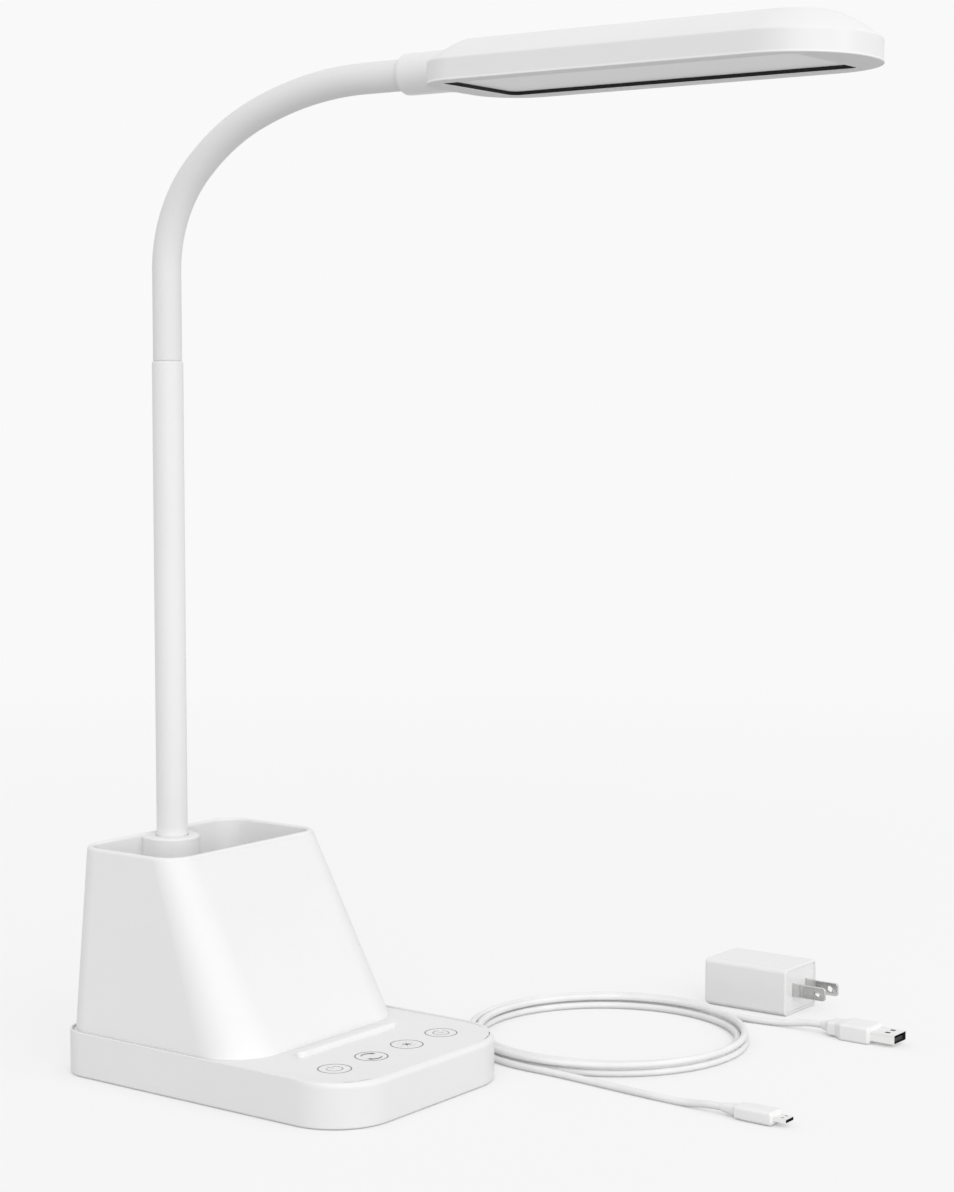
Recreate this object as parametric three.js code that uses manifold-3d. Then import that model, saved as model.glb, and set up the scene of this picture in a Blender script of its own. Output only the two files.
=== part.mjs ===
// Desk lamp with a pen cup, a rigid arm, a flexible neck and a flat LED head, and its USB power set beside it.
// Millimetres, +Z up. The origin is the centre of the base on the table. The head reaches towards -Y, the front.
import * as THREE from "three";
import { mergeVertices } from "three/addons/utils/BufferGeometryUtils.js";
import Module from "manifold-3d";

const wasm = await Module();
wasm.setup();

// Clearances that are used all over
const CLEAR = 0.3; // between pieces that seat on each other
const OVERRUN = 4; // how far a cutting solid runs past the face that it cuts

// Base
const BASE_WIDTH = 119;
const BASE_DEPTH = 165;
const BASE_TOP = 20; // top of the lip above the table
const FRONT_CORNER = 27;
const REAR_CORNER = 14;
const STANDOFF = 1.2; // underside of the base above the table
const SHELL_WALL = 2.2;
const LIP_WIDTH = 1.5;
const LIP_RISE = 0.6; // lip above the deck
const LIP_FRONT = 1; // the lip runs out where the front edge rounds over
const SIDE_ROUND = 0.7;
const FRONT_ROUND = 3;
const BOTTOM_ROUND = 0.5;
const DECK_THICK = 2.2;
const BOTTOM_THICK = 2;
const FOOT_DIAMETER = 12;
const FOOT_RECESS = 1;
const FOOT_CHAMFER = 0.4;
const FOOT_INSET_X = 15; // foot centres from the sides
const FOOT_INSET_Y = 17; // foot centres from the front and the rear
const SCREW_POST = 7.4; // diameter of the posts that the base screws enter
const SCREW_INSET_X = 9;
const SCREW_INSET_Y = 33;
const SCREW_SHANK = 3;
const SCREW_HEAD = 5.6;
const SCREW_HEAD_THICK = 1;
const SCREW_LENGTH = 10;
const WEIGHT_THICK = 5;
const WEIGHT_INSET = 16.5; // sides of the counterweight from the sides of the base
const WEIGHT_FRONT = 51; // front edge of the counterweight from the front of the base
const WEIGHT_REAR = 30; // rear edge of the counterweight from the rear of the base

// Touch keys, phone stop and power inlet
const KEY_COUNT = 4;
const KEY_ROW_INSET = 23.2; // outer keys from the sides of the base
const KEY_ROW_FRONT = 24.5; // row of keys from the front of the base
const PAD_DIAMETER = 9;
const BOARD_THICK = 1.6;
const TOUCH_BOARD_MARGIN = 9.7; // beyond the outer keys
const TOUCH_BOARD_DEPTH = 30;
const TOUCH_BOARD_DROP = 3.6; // board's top below the deck's underside
const BOARD_POST = 5;
const BOARD_POST_BACK = 10; // behind the outer keys
const STOP_WIDTH = 65;
const STOP_DEPTH = 4.6;
const STOP_HEIGHT = 2.6;
const STOP_CHAMFER = 0.8;
const STOP_FRONT = 48.5; // middle of the stop from the front of the base
const INLET_WIDTH = 7.6;
const INLET_HEIGHT = 2.8;
const INLET_DEPTH = 6;
const INLET_MOUTH_WIDTH = 7;
const INLET_MOUTH_HEIGHT = 2;
const INLET_MOUTH_DEPTH = 4.5;
const POWER_BOARD_WIDTH = 22;
const POWER_BOARD_DEPTH = 15;
const POWER_POST = 1.5; // height of the rib that carries the power board

// Pen cup
const CUP_RIM = 100; // height of the rim above the table
const CUP_FOOT_INSET = 2.4; // foot inside the outline of the base
const CUP_FOOT_FRONT = 58.5; // front of the foot from the front of the base
const CUP_FOOT_FRONT_CORNER = 24;
const CUP_FOOT_REAR_CORNER = 12;
const CUP_RIM_INSET = 9.5; // rim inside the sides of the base
const CUP_RIM_REAR = 3; // rim inside the rear of the base
const CUP_RIM_DEPTH = 59;
const CUP_RIM_FRONT_CORNER = 13;
const CUP_RIM_REAR_CORNER = 13;
const CUP_RIM_ROUND = 1;
const CUP_WALL = 2.6;
const CUP_FLOOR = 3;
const WELL_DRAFT = 1.2; // the well is this much narrower at its floor, each side
const CUP_HOLLOW_TOP = 4; // the hollow behind the slope ends this far below the rim
const BOSS_DIAMETER = 25;
const BOSS_DROP = 0.8; // top of the boss below the rim
const CUP_POST = 8;
const CUP_POST_INSET = 27.1; // posts from the sides of the cup's foot
const CUP_POST_LEAD = 3; // posts in front of the rim's front edge, against the wall of the well
const CUP_POST_HEIGHT = 14;

// Arm
const ARM_REAR = 14.1; // axis of the arm from the rear of the base
const TUBE_DIAMETER = 14;
const TUBE_WALL = 1.5;
const TUBE_TOP = 313; // the seam between the rigid tube and the flexible neck
const TUBE_CHAMFER = 0.7;
const TUBE_END_DROP = 5; // end of the tube below the deck's underside
const WASHER_DIAMETER = 22;
const WASHER_THICK = 1.2;
const NUT_FLATS = 19;
const NUT_THICK = 2.8;
const WIRE_DIAMETER = 3;

// Neck: a straight run, then three arcs of growing radius, then a straight run into the collar
const NECK_DIAMETER = 12.9;
const NECK_STRAIGHT = 40;
const NECK_RADII = [59.7, 103.2, 170.4];
const NECK_HEADINGS_DEG = [46.4, 69.7, 90.5]; // heading from the vertical at the end of each arc
const NECK_LAST_RUN = 21.6;
const NECK_JOINTS = 9;
const NECK_FIRST_JOINT = 12; // from the seam
const NECK_LAST_JOINT = 14; // before the collar
const BALL_RADIUS = 4.6;
const STEM_RADIUS = 3.1;
const SOCKET_LAP = 1.5; // the socket's rim beyond the centre of the ball
const SHOULDER_GAP = 3.8; // from the centre of the ball to the shoulder of its own link
const SPIGOT_DIAMETER = 10.4;
const SPIGOT_LENGTH = 18;

// Head, measured from the mouth of its collar along the head
const HEAD_WIDTH = 66.2;
const HEAD_ROOT = 25;
const HEAD_TIP = 213.2;
const HEAD_BELOW = 8.4; // underside below the neck's axis
const HEAD_THICK = 17.6;
const BAND_HEIGHT = 7.9;
const HEAD_ROOT_CORNER = 21;
const HEAD_TIP_CORNER = 31.5;
const HEAD_WALL = 1.8;
const BEVEL_INSET = 15;
const BEVEL_MID_INSET = 5.4;
const BEVEL_MID_RISE = 4.4;
const BEVEL_EDGE = 0.4;
const FLANGE_WIDTH = 8;
const FLANGE_ROOT = 9;
const FLANGE_TIP = 10.4;
const OPENING_ROOT_CORNER = 4;
const FLANGE_THICK = 2.3;
const DIFFUSER_THICK = 1.8;
const GUIDE_THICK = 2;
const LED_BOARD_THICK = 1.5;
const PANEL_MARGIN = 2.6; // panels inside the wall of the frame
const COLLAR_DIAMETER = 17;
const COLLAR_TENON = 14.2; // diameter of the part of the collar that sits in the head
const COLLAR_IN_HEAD = 9;
const COLLAR_ROUND = 1.8;
const COLLAR_SEAT = 3.2; // how deep the sleeve enters the collar

// Lead, plugs and adapter
const LEAD_DIAMETER = 3.2;
const COIL_X = 131;
const COIL_Y = -83;
const COIL_OUTER_RADIUS = 65.6; // centre line of the outermost turn
const COIL_TURNS = 3.5;
const COIL_PITCH = 3.8; // between neighbouring turns and between the layers
const COIL_STEPS_PER_TURN = 24;
const COIL_SIDES = 6;
const LEAD_SIDES = 8;
const MICRO_PLUG_WIDTH = 9.6;
const MICRO_PLUG_HEIGHT = 6.2;
const MICRO_PLUG_LENGTH = 17;
const MICRO_SHELL_WIDTH = 6.9;
const MICRO_SHELL_HEIGHT = 1.9;
const MICRO_SHELL_LENGTH = 5.5;
const MICRO_SHELL_WALL = 0.3;
const USB_PLUG_WIDTH = 15.4;
const USB_PLUG_HEIGHT = 7.8;
const USB_PLUG_LENGTH = 19;
const USB_SHELL_WIDTH = 12;
const USB_SHELL_HEIGHT = 4.5;
const USB_SHELL_LENGTH = 12;
const USB_SHELL_WALL = 0.35;
const USB_TONGUE = 1.9;
const RELIEF_LENGTH = 9;
const RELIEF_ROOT = 5.4;
const RELIEF_TIP = 4.4;
const PLUG_CHAMFER = 0.9;
const ADAPTER_X = 232;
const ADAPTER_Y = -105;
const ADAPTER_WIDTH = 31;
const ADAPTER_LENGTH = 45;
const ADAPTER_HEIGHT = 23;
const ADAPTER_WALL = 2;
const ADAPTER_ROUND = 2;
const ADAPTER_FACE_THICK = 2.4;
const ADAPTER_FACE_MARGIN = 1.1;
const BLADE_WIDTH = 6.35;
const BLADE_THICK = 1.5;
const BLADE_LENGTH = 17;
const BLADE_ROOT = 6;
const BLADE_SPACING = 12.7;
const BLADE_HOLE = 3.2;
const BLADE_HOLE_FROM_TIP = 4.4;
const BLADE_TIP_CHAMFER = 0.5;
const PORT_WIDTH = 14.4;
const PORT_HEIGHT = 7;
const PORT_DEPTH = 13;
const PORT_MOUTH_WIDTH = 12.6;
const PORT_MOUTH_HEIGHT = 5.1;
const PORT_MOUTH_DEPTH = 11.4;

// Heights and places that follow from the sizes above
const DECK_TOP = BASE_TOP - LIP_RISE;
const DECK_UNDER = DECK_TOP - DECK_THICK;
const BOTTOM_TOP = STANDOFF + BOTTOM_THICK;
const CUP_FOOT = DECK_TOP + CLEAR;
const WELL_FLOOR = CUP_FOOT + CUP_FLOOR;
const BOARD_TOP = DECK_UNDER - TOUCH_BOARD_DROP;
const BASE_SIDE = BASE_WIDTH / 2;
const BASE_END = BASE_DEPTH / 2;
const KEY_Y = KEY_ROW_FRONT - BASE_END;
const OUTER_KEY_X = BASE_SIDE - KEY_ROW_INSET;
const ARM_Y = BASE_END - ARM_REAR;
const NECK_RADIUS = NECK_DIAMETER / 2;

const radians = THREE.MathUtils.degToRad;

// Materials
const white = new THREE.MeshStandardMaterial({ color: 0xededeb, roughness: 0.42, metalness: 0 });
const softWhite = new THREE.MeshStandardMaterial({ color: 0xf2f2f0, roughness: 0.6, metalness: 0 });
const diffuserWhite = new THREE.MeshStandardMaterial({ color: 0xf6f5f0, roughness: 0.35, metalness: 0 });
const clearPlastic = new THREE.MeshStandardMaterial({ color: 0xe8eef0, roughness: 0.1, metalness: 0 });
const steel = new THREE.MeshStandardMaterial({ color: 0x9b9ea2, roughness: 0.35, metalness: 1 });
const nickel = new THREE.MeshStandardMaterial({ color: 0xc9cacc, roughness: 0.22, metalness: 1 });
const aluminium = new THREE.MeshStandardMaterial({ color: 0xb9bcc0, roughness: 0.4, metalness: 1 });
const board = new THREE.MeshStandardMaterial({ color: 0x2f6b45, roughness: 0.5, metalness: 0 });
const rubber = new THREE.MeshStandardMaterial({ color: 0xbdbdbb, roughness: 0.85, metalness: 0 });
const black = new THREE.MeshStandardMaterial({ color: 0x26262a, roughness: 0.5, metalness: 0 });

// Solids and booleans
function toSolid(geometry) {
  const bare = geometry.index ? geometry.toNonIndexed() : geometry.clone();
  bare.deleteAttribute("normal");
  bare.deleteAttribute("uv");
  const merged = mergeVertices(bare);
  return new wasm.Manifold(new wasm.Mesh({
    numProp: 3,
    vertProperties: new Float32Array(merged.attributes.position.array),
    triVerts: new Uint32Array(merged.index.array),
  }));
}

function toGeometry(solid) {
  const mesh = solid.getMesh();
  const positions = new Float32Array(mesh.numVert * 3);
  for (let i = 0; i < mesh.numVert; i++) {
    const start = i * mesh.numProp;
    positions.set(mesh.vertProperties.subarray(start, start + 3), i * 3);
  }
  return new THREE.BufferGeometry()
    .setAttribute("position", new THREE.BufferAttribute(positions, 3))
    .setIndex(new THREE.BufferAttribute(new Uint32Array(mesh.triVerts), 1));
}

const cut = (solid, ...tools) => tools.reduce((rest, tool) => rest.subtract(tool), solid);
const join = (solid, ...others) => others.reduce((sum, other) => sum.add(other), solid);
const moved = (solid, x, y, z) => toSolid(toGeometry(solid).translate(x, y, z));

function named(name, solid, material) {
  const mesh = new THREE.Mesh(toGeometry(solid), material);
  mesh.name = name;
  return mesh;
}

// A rectangle with rounded corners, seen from above, as points that run anticlockwise.
function roundedRectangle({ left, right, front, rear, frontCorner, rearCorner, steps = 6 }) {
  const corners = [
    [right - rearCorner, rear - rearCorner, rearCorner, 0],
    [left + rearCorner, rear - rearCorner, rearCorner, 90],
    [left + frontCorner, front + frontCorner, frontCorner, 180],
    [right - frontCorner, front + frontCorner, frontCorner, 270],
  ];
  const points = [];
  for (const [x, y, radius, from] of corners) {
    for (let i = 0; i <= steps; i++) {
      const angle = radians(from + (90 * i) / steps);
      points.push([x + radius * Math.cos(angle), y + radius * Math.sin(angle)]);
    }
  }
  return points;
}

// The same outline, drawn in by an inset at the sides and rear and another at the front.
function inset(box, side, front = side) {
  return {
    ...box,
    left: box.left + side,
    right: box.right - side,
    front: box.front + front,
    rear: box.rear - side,
    frontCorner: Math.max(box.frontCorner - (side + front) / 2, 1),
    rearCorner: Math.max(box.rearCorner - side, 1),
  };
}

// A closed solid through outlines at rising heights. Each level is [height, outline points].
function loft(levels) {
  const count = levels[0][1].length;
  const positions = [];
  const index = [];
  for (const [z, points] of levels) {
    for (const [x, y] of points) positions.push(x, y, z);
  }
  for (let level = 0; level < levels.length - 1; level++) {
    for (let i = 0; i < count; i++) {
      const a = level * count + i;
      const b = level * count + ((i + 1) % count);
      index.push(a, b, b + count, a, b + count, a + count);
    }
  }
  const flat = (points) => THREE.ShapeUtils.triangulateShape(points.map(([x, y]) => new THREE.Vector2(x, y)), []);
  for (const [a, b, c] of flat(levels[0][1])) index.push(c, b, a);
  const top = (levels.length - 1) * count;
  for (const [a, b, c] of flat(levels[levels.length - 1][1])) index.push(top + a, top + b, top + c);
  return toSolid(new THREE.BufferGeometry()
    .setAttribute("position", new THREE.Float32BufferAttribute(positions, 3))
    .setIndex(index));
}

const prism = (box, low, high) => loft([[low, roundedRectangle(box)], [high, roundedRectangle(box)]]);

const block = (width, depth, height, x, y, low) =>
  toSolid(new THREE.BoxGeometry(width, depth, height).translate(x, y, low + height / 2));

// An upright cylinder from one height to another.
const post = (diameter, x, y, low, high, sides = 14) =>
  toSolid(new THREE.CylinderGeometry(diameter / 2, diameter / 2, high - low, sides)
    .rotateX(Math.PI / 2).translate(x, y, (low + high) / 2));

// A cylinder along Y, from one place to another.
const rod = (diameter, x, z, from, to, sides = 24) =>
  toSolid(new THREE.CylinderGeometry(diameter / 2, diameter / 2, Math.abs(to - from), sides)
    .translate(0, (from + to) / 2, 0).translate(x, 0, z));

// A turned solid about the vertical through (x, y). The profile lists [radius, height] from the bottom up.
function turned(profile, x, y, sides = 28) {
  const points = profile.map(([radius, height]) => new THREE.Vector2(radius, height));
  return toSolid(new THREE.LatheGeometry(points, sides).rotateX(Math.PI / 2).translate(x, y, 0));
}

// A round tube solid along a curve.
function along(curve, diameter, sides, steps) {
  const section = new THREE.Shape();
  for (let i = 0; i < sides; i++) {
    const angle = (2 * Math.PI * (i + 0.5)) / sides;
    const point = [(diameter / 2) * Math.cos(angle), (diameter / 2) * Math.sin(angle)];
    if (i === 0) section.moveTo(...point);
    else section.lineTo(...point);
  }
  section.closePath();
  return toSolid(new THREE.ExtrudeGeometry(section, { steps, bevelEnabled: false, extrudePath: curve }));
}

const lamp = new THREE.Group();

// Base shell, open below: outer wall, deck with a lip round it, posts for the screws and the touch board
const baseOutline = {
  left: -BASE_SIDE,
  right: BASE_SIDE,
  front: -BASE_END,
  rear: BASE_END,
  frontCorner: FRONT_CORNER,
  rearCorner: REAR_CORNER,
};
const screwPlaces = [];
for (const x of [-1, 1]) {
  for (const y of [-1, 1]) {
    screwPlaces.push([x * (BASE_SIDE - SCREW_INSET_X), y * (BASE_END - SCREW_INSET_Y)]);
  }
}
const cupPostX = BASE_SIDE - CUP_FOOT_INSET - CUP_POST_INSET;
const cupPostY = BASE_END - CUP_RIM_REAR - CUP_RIM_DEPTH - CUP_POST_LEAD;
const cupScrewPlaces = [[-cupPostX, cupPostY], [cupPostX, cupPostY]];
const boardPosts = [[-OUTER_KEY_X, KEY_Y + BOARD_POST_BACK], [OUTER_KEY_X, KEY_Y + BOARD_POST_BACK]];
const inletBottom = BOTTOM_TOP + POWER_POST + CLEAR + BOARD_THICK + CLEAR;
const pilot = SCREW_SHANK + 2 * CLEAR;
const tubeHole = TUBE_DIAMETER + 2 * CLEAR;

function baseShell() {
  const levels = [
    [STANDOFF, roundedRectangle(inset(baseOutline, BOTTOM_ROUND))],
    [STANDOFF + BOTTOM_ROUND, roundedRectangle(baseOutline)],
  ];
  for (const degrees of [0, 30, 60, 90]) {
    const z = BASE_TOP - FRONT_ROUND * (1 - Math.sin(radians(degrees)));
    const front = FRONT_ROUND * (1 - Math.cos(radians(degrees)));
    const intoRound = Math.max(z - (BASE_TOP - SIDE_ROUND), 0) / SIDE_ROUND;
    const side = SIDE_ROUND * (1 - Math.sqrt(1 - intoRound ** 2));
    levels.push([z, roundedRectangle(inset(baseOutline, side, front))]);
  }
  const hollow = prism(inset(baseOutline, SHELL_WALL), STANDOFF - OVERRUN, DECK_UNDER);
  const deckRecess = prism(inset(baseOutline, LIP_WIDTH, LIP_FRONT), DECK_TOP, BASE_TOP + OVERRUN);
  let shell = cut(loft(levels), hollow, deckRecess);
  for (const [x, y] of screwPlaces) {
    shell = join(shell, post(SCREW_POST, x, y, BOTTOM_TOP + CLEAR, DECK_UNDER + DECK_THICK / 2));
    shell = cut(shell, post(pilot, x, y, STANDOFF - OVERRUN, STANDOFF + SCREW_HEAD_THICK + SCREW_LENGTH + CLEAR));
  }
  for (const [x, y] of boardPosts) {
    shell = join(shell, post(BOARD_POST, x, y, BOARD_TOP + CLEAR, DECK_UNDER + DECK_THICK / 2));
  }
  for (const [x, y] of cupScrewPlaces) {
    shell = cut(shell, post(pilot, x, y, DECK_UNDER - OVERRUN, DECK_TOP + OVERRUN));
  }
  return cut(
    shell,
    post(tubeHole, 0, ARM_Y, DECK_UNDER - OVERRUN, DECK_TOP + OVERRUN, 32),
    block(INLET_WIDTH + 2 * CLEAR, SHELL_WALL + 2 * OVERRUN, INLET_HEIGHT + 2 * CLEAR,
      0, BASE_END, inletBottom - CLEAR),
  );
}
lamp.add(named("base_shell", baseShell(), white));

// Bottom cover with recesses for the feet, counterbored screw holes and a rib under the power board
const footPlaces = {
  front_left: [-1, -1],
  front_right: [1, -1],
  rear_left: [-1, 1],
  rear_right: [1, 1],
};
const footCentre = ([x, y]) => [x * (BASE_SIDE - FOOT_INSET_X), y * (BASE_END - FOOT_INSET_Y)];
const powerBoardY = BASE_END - SHELL_WALL - CLEAR - POWER_BOARD_DEPTH / 2;

function bottomCover() {
  let cover = prism(inset(baseOutline, SHELL_WALL + CLEAR), STANDOFF, BOTTOM_TOP);
  for (const place of Object.values(footPlaces)) {
    const [x, y] = footCentre(place);
    cover = cut(cover, post(FOOT_DIAMETER + 2 * CLEAR, x, y, STANDOFF - OVERRUN, STANDOFF + FOOT_RECESS, 20));
  }
  for (const [x, y] of screwPlaces) {
    cover = cut(cover, post(pilot, x, y, STANDOFF - OVERRUN, BOTTOM_TOP + OVERRUN),
      post(SCREW_HEAD + 2 * CLEAR, x, y, STANDOFF - OVERRUN, STANDOFF + SCREW_HEAD_THICK + CLEAR));
  }
  for (const side of [-1, 1]) {
    cover = join(cover, block(BOARD_POST, POWER_BOARD_DEPTH, POWER_POST + BOTTOM_THICK / 2,
      side * (POWER_BOARD_WIDTH / 2 - BOARD_POST / 2), powerBoardY, BOTTOM_TOP - BOTTOM_THICK / 2));
  }
  return cover;
}
lamp.add(named("bottom_cover", bottomCover(), white));

for (const [place, sides] of Object.entries(footPlaces)) {
  const radius = FOOT_DIAMETER / 2;
  const top = STANDOFF + FOOT_RECESS - CLEAR;
  const [x, y] = footCentre(sides);
  lamp.add(named("foot_" + place,
    turned([[0, 0], [radius - FOOT_CHAMFER, 0], [radius, FOOT_CHAMFER], [radius, top], [0, top]], x, y, 20), rubber));
}

// A pan-headed screw that is driven in from below, with its head's face at the given height.
function screw(x, y, face, length) {
  const head = SCREW_HEAD / 2;
  const shank = SCREW_SHANK / 2;
  const under = face + SCREW_HEAD_THICK;
  const solid = turned([[0, face], [head, face], [head, under], [shank, under], [shank, under + length - shank],
    [0, under + length]], x, y, 12);
  return cut(solid, block(head, shank / 2, SCREW_HEAD_THICK, x, y, face - SCREW_HEAD_THICK / 2),
    block(shank / 2, head, SCREW_HEAD_THICK, x, y, face - SCREW_HEAD_THICK / 2));
}
screwPlaces.forEach(([x, y], i) => lamp.add(named("base_screw_" + (i + 1), screw(x, y, STANDOFF, SCREW_LENGTH), steel)));

// Counterweight, a steel plate that lies on the bottom cover
const weightBox = {
  left: WEIGHT_INSET - BASE_SIDE,
  right: BASE_SIDE - WEIGHT_INSET,
  front: WEIGHT_FRONT - BASE_END,
  rear: BASE_END - WEIGHT_REAR,
  frontCorner: SCREW_POST,
  rearCorner: SCREW_POST,
  steps: 3,
};
lamp.add(named("counterweight", prism(weightBox, BOTTOM_TOP + CLEAR, BOTTOM_TOP + CLEAR + WEIGHT_THICK), steel));

// Touch board under the deck, and one sprung contact pad under each key
lamp.add(named("touch_board",
  block(2 * (OUTER_KEY_X + TOUCH_BOARD_MARGIN), TOUCH_BOARD_DEPTH, BOARD_THICK, 0, KEY_Y, BOARD_TOP - BOARD_THICK),
  board));
for (let i = 0; i < KEY_COUNT; i++) {
  const x = OUTER_KEY_X * ((2 * i) / (KEY_COUNT - 1) - 1);
  lamp.add(named("touch_pad_" + (i + 1), post(PAD_DIAMETER, x, KEY_Y, BOARD_TOP + CLEAR, DECK_UNDER - CLEAR, 16), nickel));
}

// Power board and its micro-USB inlet in the rear wall
const powerBoardBottom = BOTTOM_TOP + POWER_POST + CLEAR;
lamp.add(named("power_board",
  block(POWER_BOARD_WIDTH, POWER_BOARD_DEPTH, BOARD_THICK, 0, powerBoardY, powerBoardBottom), board));
const inletFace = BASE_END - CLEAR;
lamp.add(named("power_inlet", cut(
  block(INLET_WIDTH, INLET_DEPTH, INLET_HEIGHT, 0, inletFace - INLET_DEPTH / 2, inletBottom),
  block(INLET_MOUTH_WIDTH, 2 * INLET_MOUTH_DEPTH, INLET_MOUTH_HEIGHT, 0, inletFace,
    inletBottom + (INLET_HEIGHT - INLET_MOUTH_HEIGHT) / 2),
), nickel));

// Phone stop, a soft strip on the deck
const stopLow = DECK_TOP + CLEAR;
const stopHigh = DECK_TOP + STOP_HEIGHT;
const stopY = STOP_FRONT - BASE_END;
const stopBox = {
  left: -STOP_WIDTH / 2,
  right: STOP_WIDTH / 2,
  front: stopY - STOP_DEPTH / 2,
  rear: stopY + STOP_DEPTH / 2,
  frontCorner: STOP_CHAMFER,
  rearCorner: STOP_CHAMFER,
  steps: 2,
};
const stopTop = {
  ...inset(stopBox, STOP_CHAMFER),
  frontCorner: STOP_CHAMFER / 2,
  rearCorner: STOP_CHAMFER / 2,
};
lamp.add(named("phone_stop", loft([
  [stopLow, roundedRectangle(stopBox)],
  [stopHigh - STOP_CHAMFER, roundedRectangle(stopBox)],
  [stopHigh, roundedRectangle(stopTop)],
]), softWhite));

// Pen cup: a tapered shell with a sloping front, a well from above, a hollow behind the slope from below
const cupFoot = {
  left: CUP_FOOT_INSET - BASE_SIDE,
  right: BASE_SIDE - CUP_FOOT_INSET,
  front: CUP_FOOT_FRONT - BASE_END,
  rear: BASE_END - CUP_FOOT_INSET,
  frontCorner: CUP_FOOT_FRONT_CORNER,
  rearCorner: CUP_FOOT_REAR_CORNER,
};
const cupRim = {
  left: CUP_RIM_INSET - BASE_SIDE,
  right: BASE_SIDE - CUP_RIM_INSET,
  front: BASE_END - CUP_RIM_REAR - CUP_RIM_DEPTH,
  rear: BASE_END - CUP_RIM_REAR,
  frontCorner: CUP_RIM_FRONT_CORNER,
  rearCorner: CUP_RIM_REAR_CORNER,
};

// The cup's outline at a height, worked out between its foot and its rim.
function cupAt(height) {
  const share = (height - CUP_FOOT) / (CUP_RIM - CUP_FOOT);
  const box = {};
  for (const key of Object.keys(cupFoot)) box[key] = cupFoot[key] + (cupRim[key] - cupFoot[key]) * share;
  return box;
}

function penCup() {
  const roundStart = CUP_RIM - CUP_RIM_ROUND;
  const outer = loft([
    [CUP_FOOT, roundedRectangle(cupFoot)],
    [roundStart, roundedRectangle(cupAt(roundStart))],
    [CUP_RIM - CUP_RIM_ROUND / 3, roundedRectangle(inset(cupRim, CUP_RIM_ROUND / 3))],
    [CUP_RIM, roundedRectangle(inset(cupRim, CUP_RIM_ROUND))],
  ]);
  const wellAt = (grow, draft) => roundedRectangle(inset(cupRim, CUP_WALL + draft - grow));
  const well = loft([[WELL_FLOOR, wellAt(0, WELL_DRAFT)], [CUP_RIM + OVERRUN, wellAt(0, 0)]]);
  const wellWalls = loft([[CUP_FOOT - OVERRUN, wellAt(CUP_WALL, WELL_DRAFT)], [CUP_RIM, wellAt(CUP_WALL, 0)]]);
  const hollowTop = CUP_RIM - CUP_HOLLOW_TOP;
  const hollow = cut(loft([
    [CUP_FOOT - OVERRUN, roundedRectangle(inset(cupAt(CUP_FOOT - OVERRUN), CUP_WALL))],
    [hollowTop, roundedRectangle(inset(cupAt(hollowTop), CUP_WALL))],
  ]), wellWalls);
  const bossTop = CUP_RIM - BOSS_DROP;
  const boss = post(BOSS_DIAMETER, 0, ARM_Y, CUP_FOOT, bossTop, 32).intersect(outer);
  let cup = join(cut(outer, well, hollow), boss);
  for (const [x, y] of cupScrewPlaces) {
    cup = join(cup, post(CUP_POST, x, y, CUP_FOOT, CUP_FOOT + CUP_POST_HEIGHT));
    cup = cut(cup, post(pilot, x, y, CUP_FOOT - OVERRUN, CUP_FOOT + CUP_POST_HEIGHT - CUP_WALL));
  }
  return cut(cup, post(tubeHole, 0, ARM_Y, CUP_FOOT - OVERRUN, CUP_RIM + OVERRUN, 32));
}
lamp.add(named("pen_cup", penCup(), white));
cupScrewPlaces.forEach(([x, y], i) =>
  lamp.add(named("cup_screw_" + (i + 1), screw(x, y, DECK_UNDER - CLEAR - SCREW_HEAD_THICK, SCREW_LENGTH), steel)));

// Arm: a steel tube through the boss, held under the deck by a washer and a nut
const tubeBottom = DECK_UNDER - TUBE_END_DROP;
const tubeRadius = TUBE_DIAMETER / 2;
const tubeBore = TUBE_DIAMETER - 2 * TUBE_WALL;
lamp.add(named("lower_tube", cut(
  turned([[0, tubeBottom], [tubeRadius, tubeBottom], [tubeRadius, TUBE_TOP - TUBE_CHAMFER],
    [tubeRadius - TUBE_CHAMFER, TUBE_TOP], [0, TUBE_TOP]], 0, ARM_Y, 32),
  post(tubeBore, 0, ARM_Y, tubeBottom - OVERRUN, TUBE_TOP + OVERRUN, 24),
), white));
const washerTop = DECK_UNDER - CLEAR;
lamp.add(named("arm_washer", cut(
  post(WASHER_DIAMETER, 0, ARM_Y, washerTop - WASHER_THICK, washerTop, 28),
  post(tubeHole, 0, ARM_Y, washerTop - OVERRUN, washerTop + OVERRUN, 28),
), steel));
const nutTop = washerTop - WASHER_THICK - CLEAR;
lamp.add(named("arm_nut", cut(
  post(NUT_FLATS / Math.cos(Math.PI / 6), 0, ARM_Y, nutTop - NUT_THICK, nutTop, 6),
  post(tubeHole, 0, ARM_Y, nutTop - OVERRUN, nutTop + OVERRUN, 28),
), steel));

// The neck's centre line by its length from the seam, in the plane of the arm.
function neckAt(length) {
  let y = ARM_Y;
  let z = TUBE_TOP;
  let heading = 0;
  let left = length;
  const straight = Math.min(left, NECK_STRAIGHT);
  z += straight;
  left -= straight;
  for (let i = 0; i < NECK_RADII.length; i++) {
    const radius = NECK_RADII[i];
    const end = radians(NECK_HEADINGS_DEG[i]);
    const turn = Math.min(Math.max(left, 0) / radius, end - heading);
    y -= radius * (Math.cos(heading) - Math.cos(heading + turn));
    z += radius * (Math.sin(heading + turn) - Math.sin(heading));
    heading += turn;
    left -= radius * turn;
  }
  left = Math.max(left, 0);
  return {
    point: new THREE.Vector3(0, y - left * Math.sin(heading), z + left * Math.cos(heading)),
    heading,
  };
}

const NECK_LENGTH = NECK_RADII.reduce(
  (sum, radius, i) => sum + radius * radians(NECK_HEADINGS_DEG[i] - (i ? NECK_HEADINGS_DEG[i - 1] : 0)),
  NECK_STRAIGHT + NECK_LAST_RUN,
);

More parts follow.
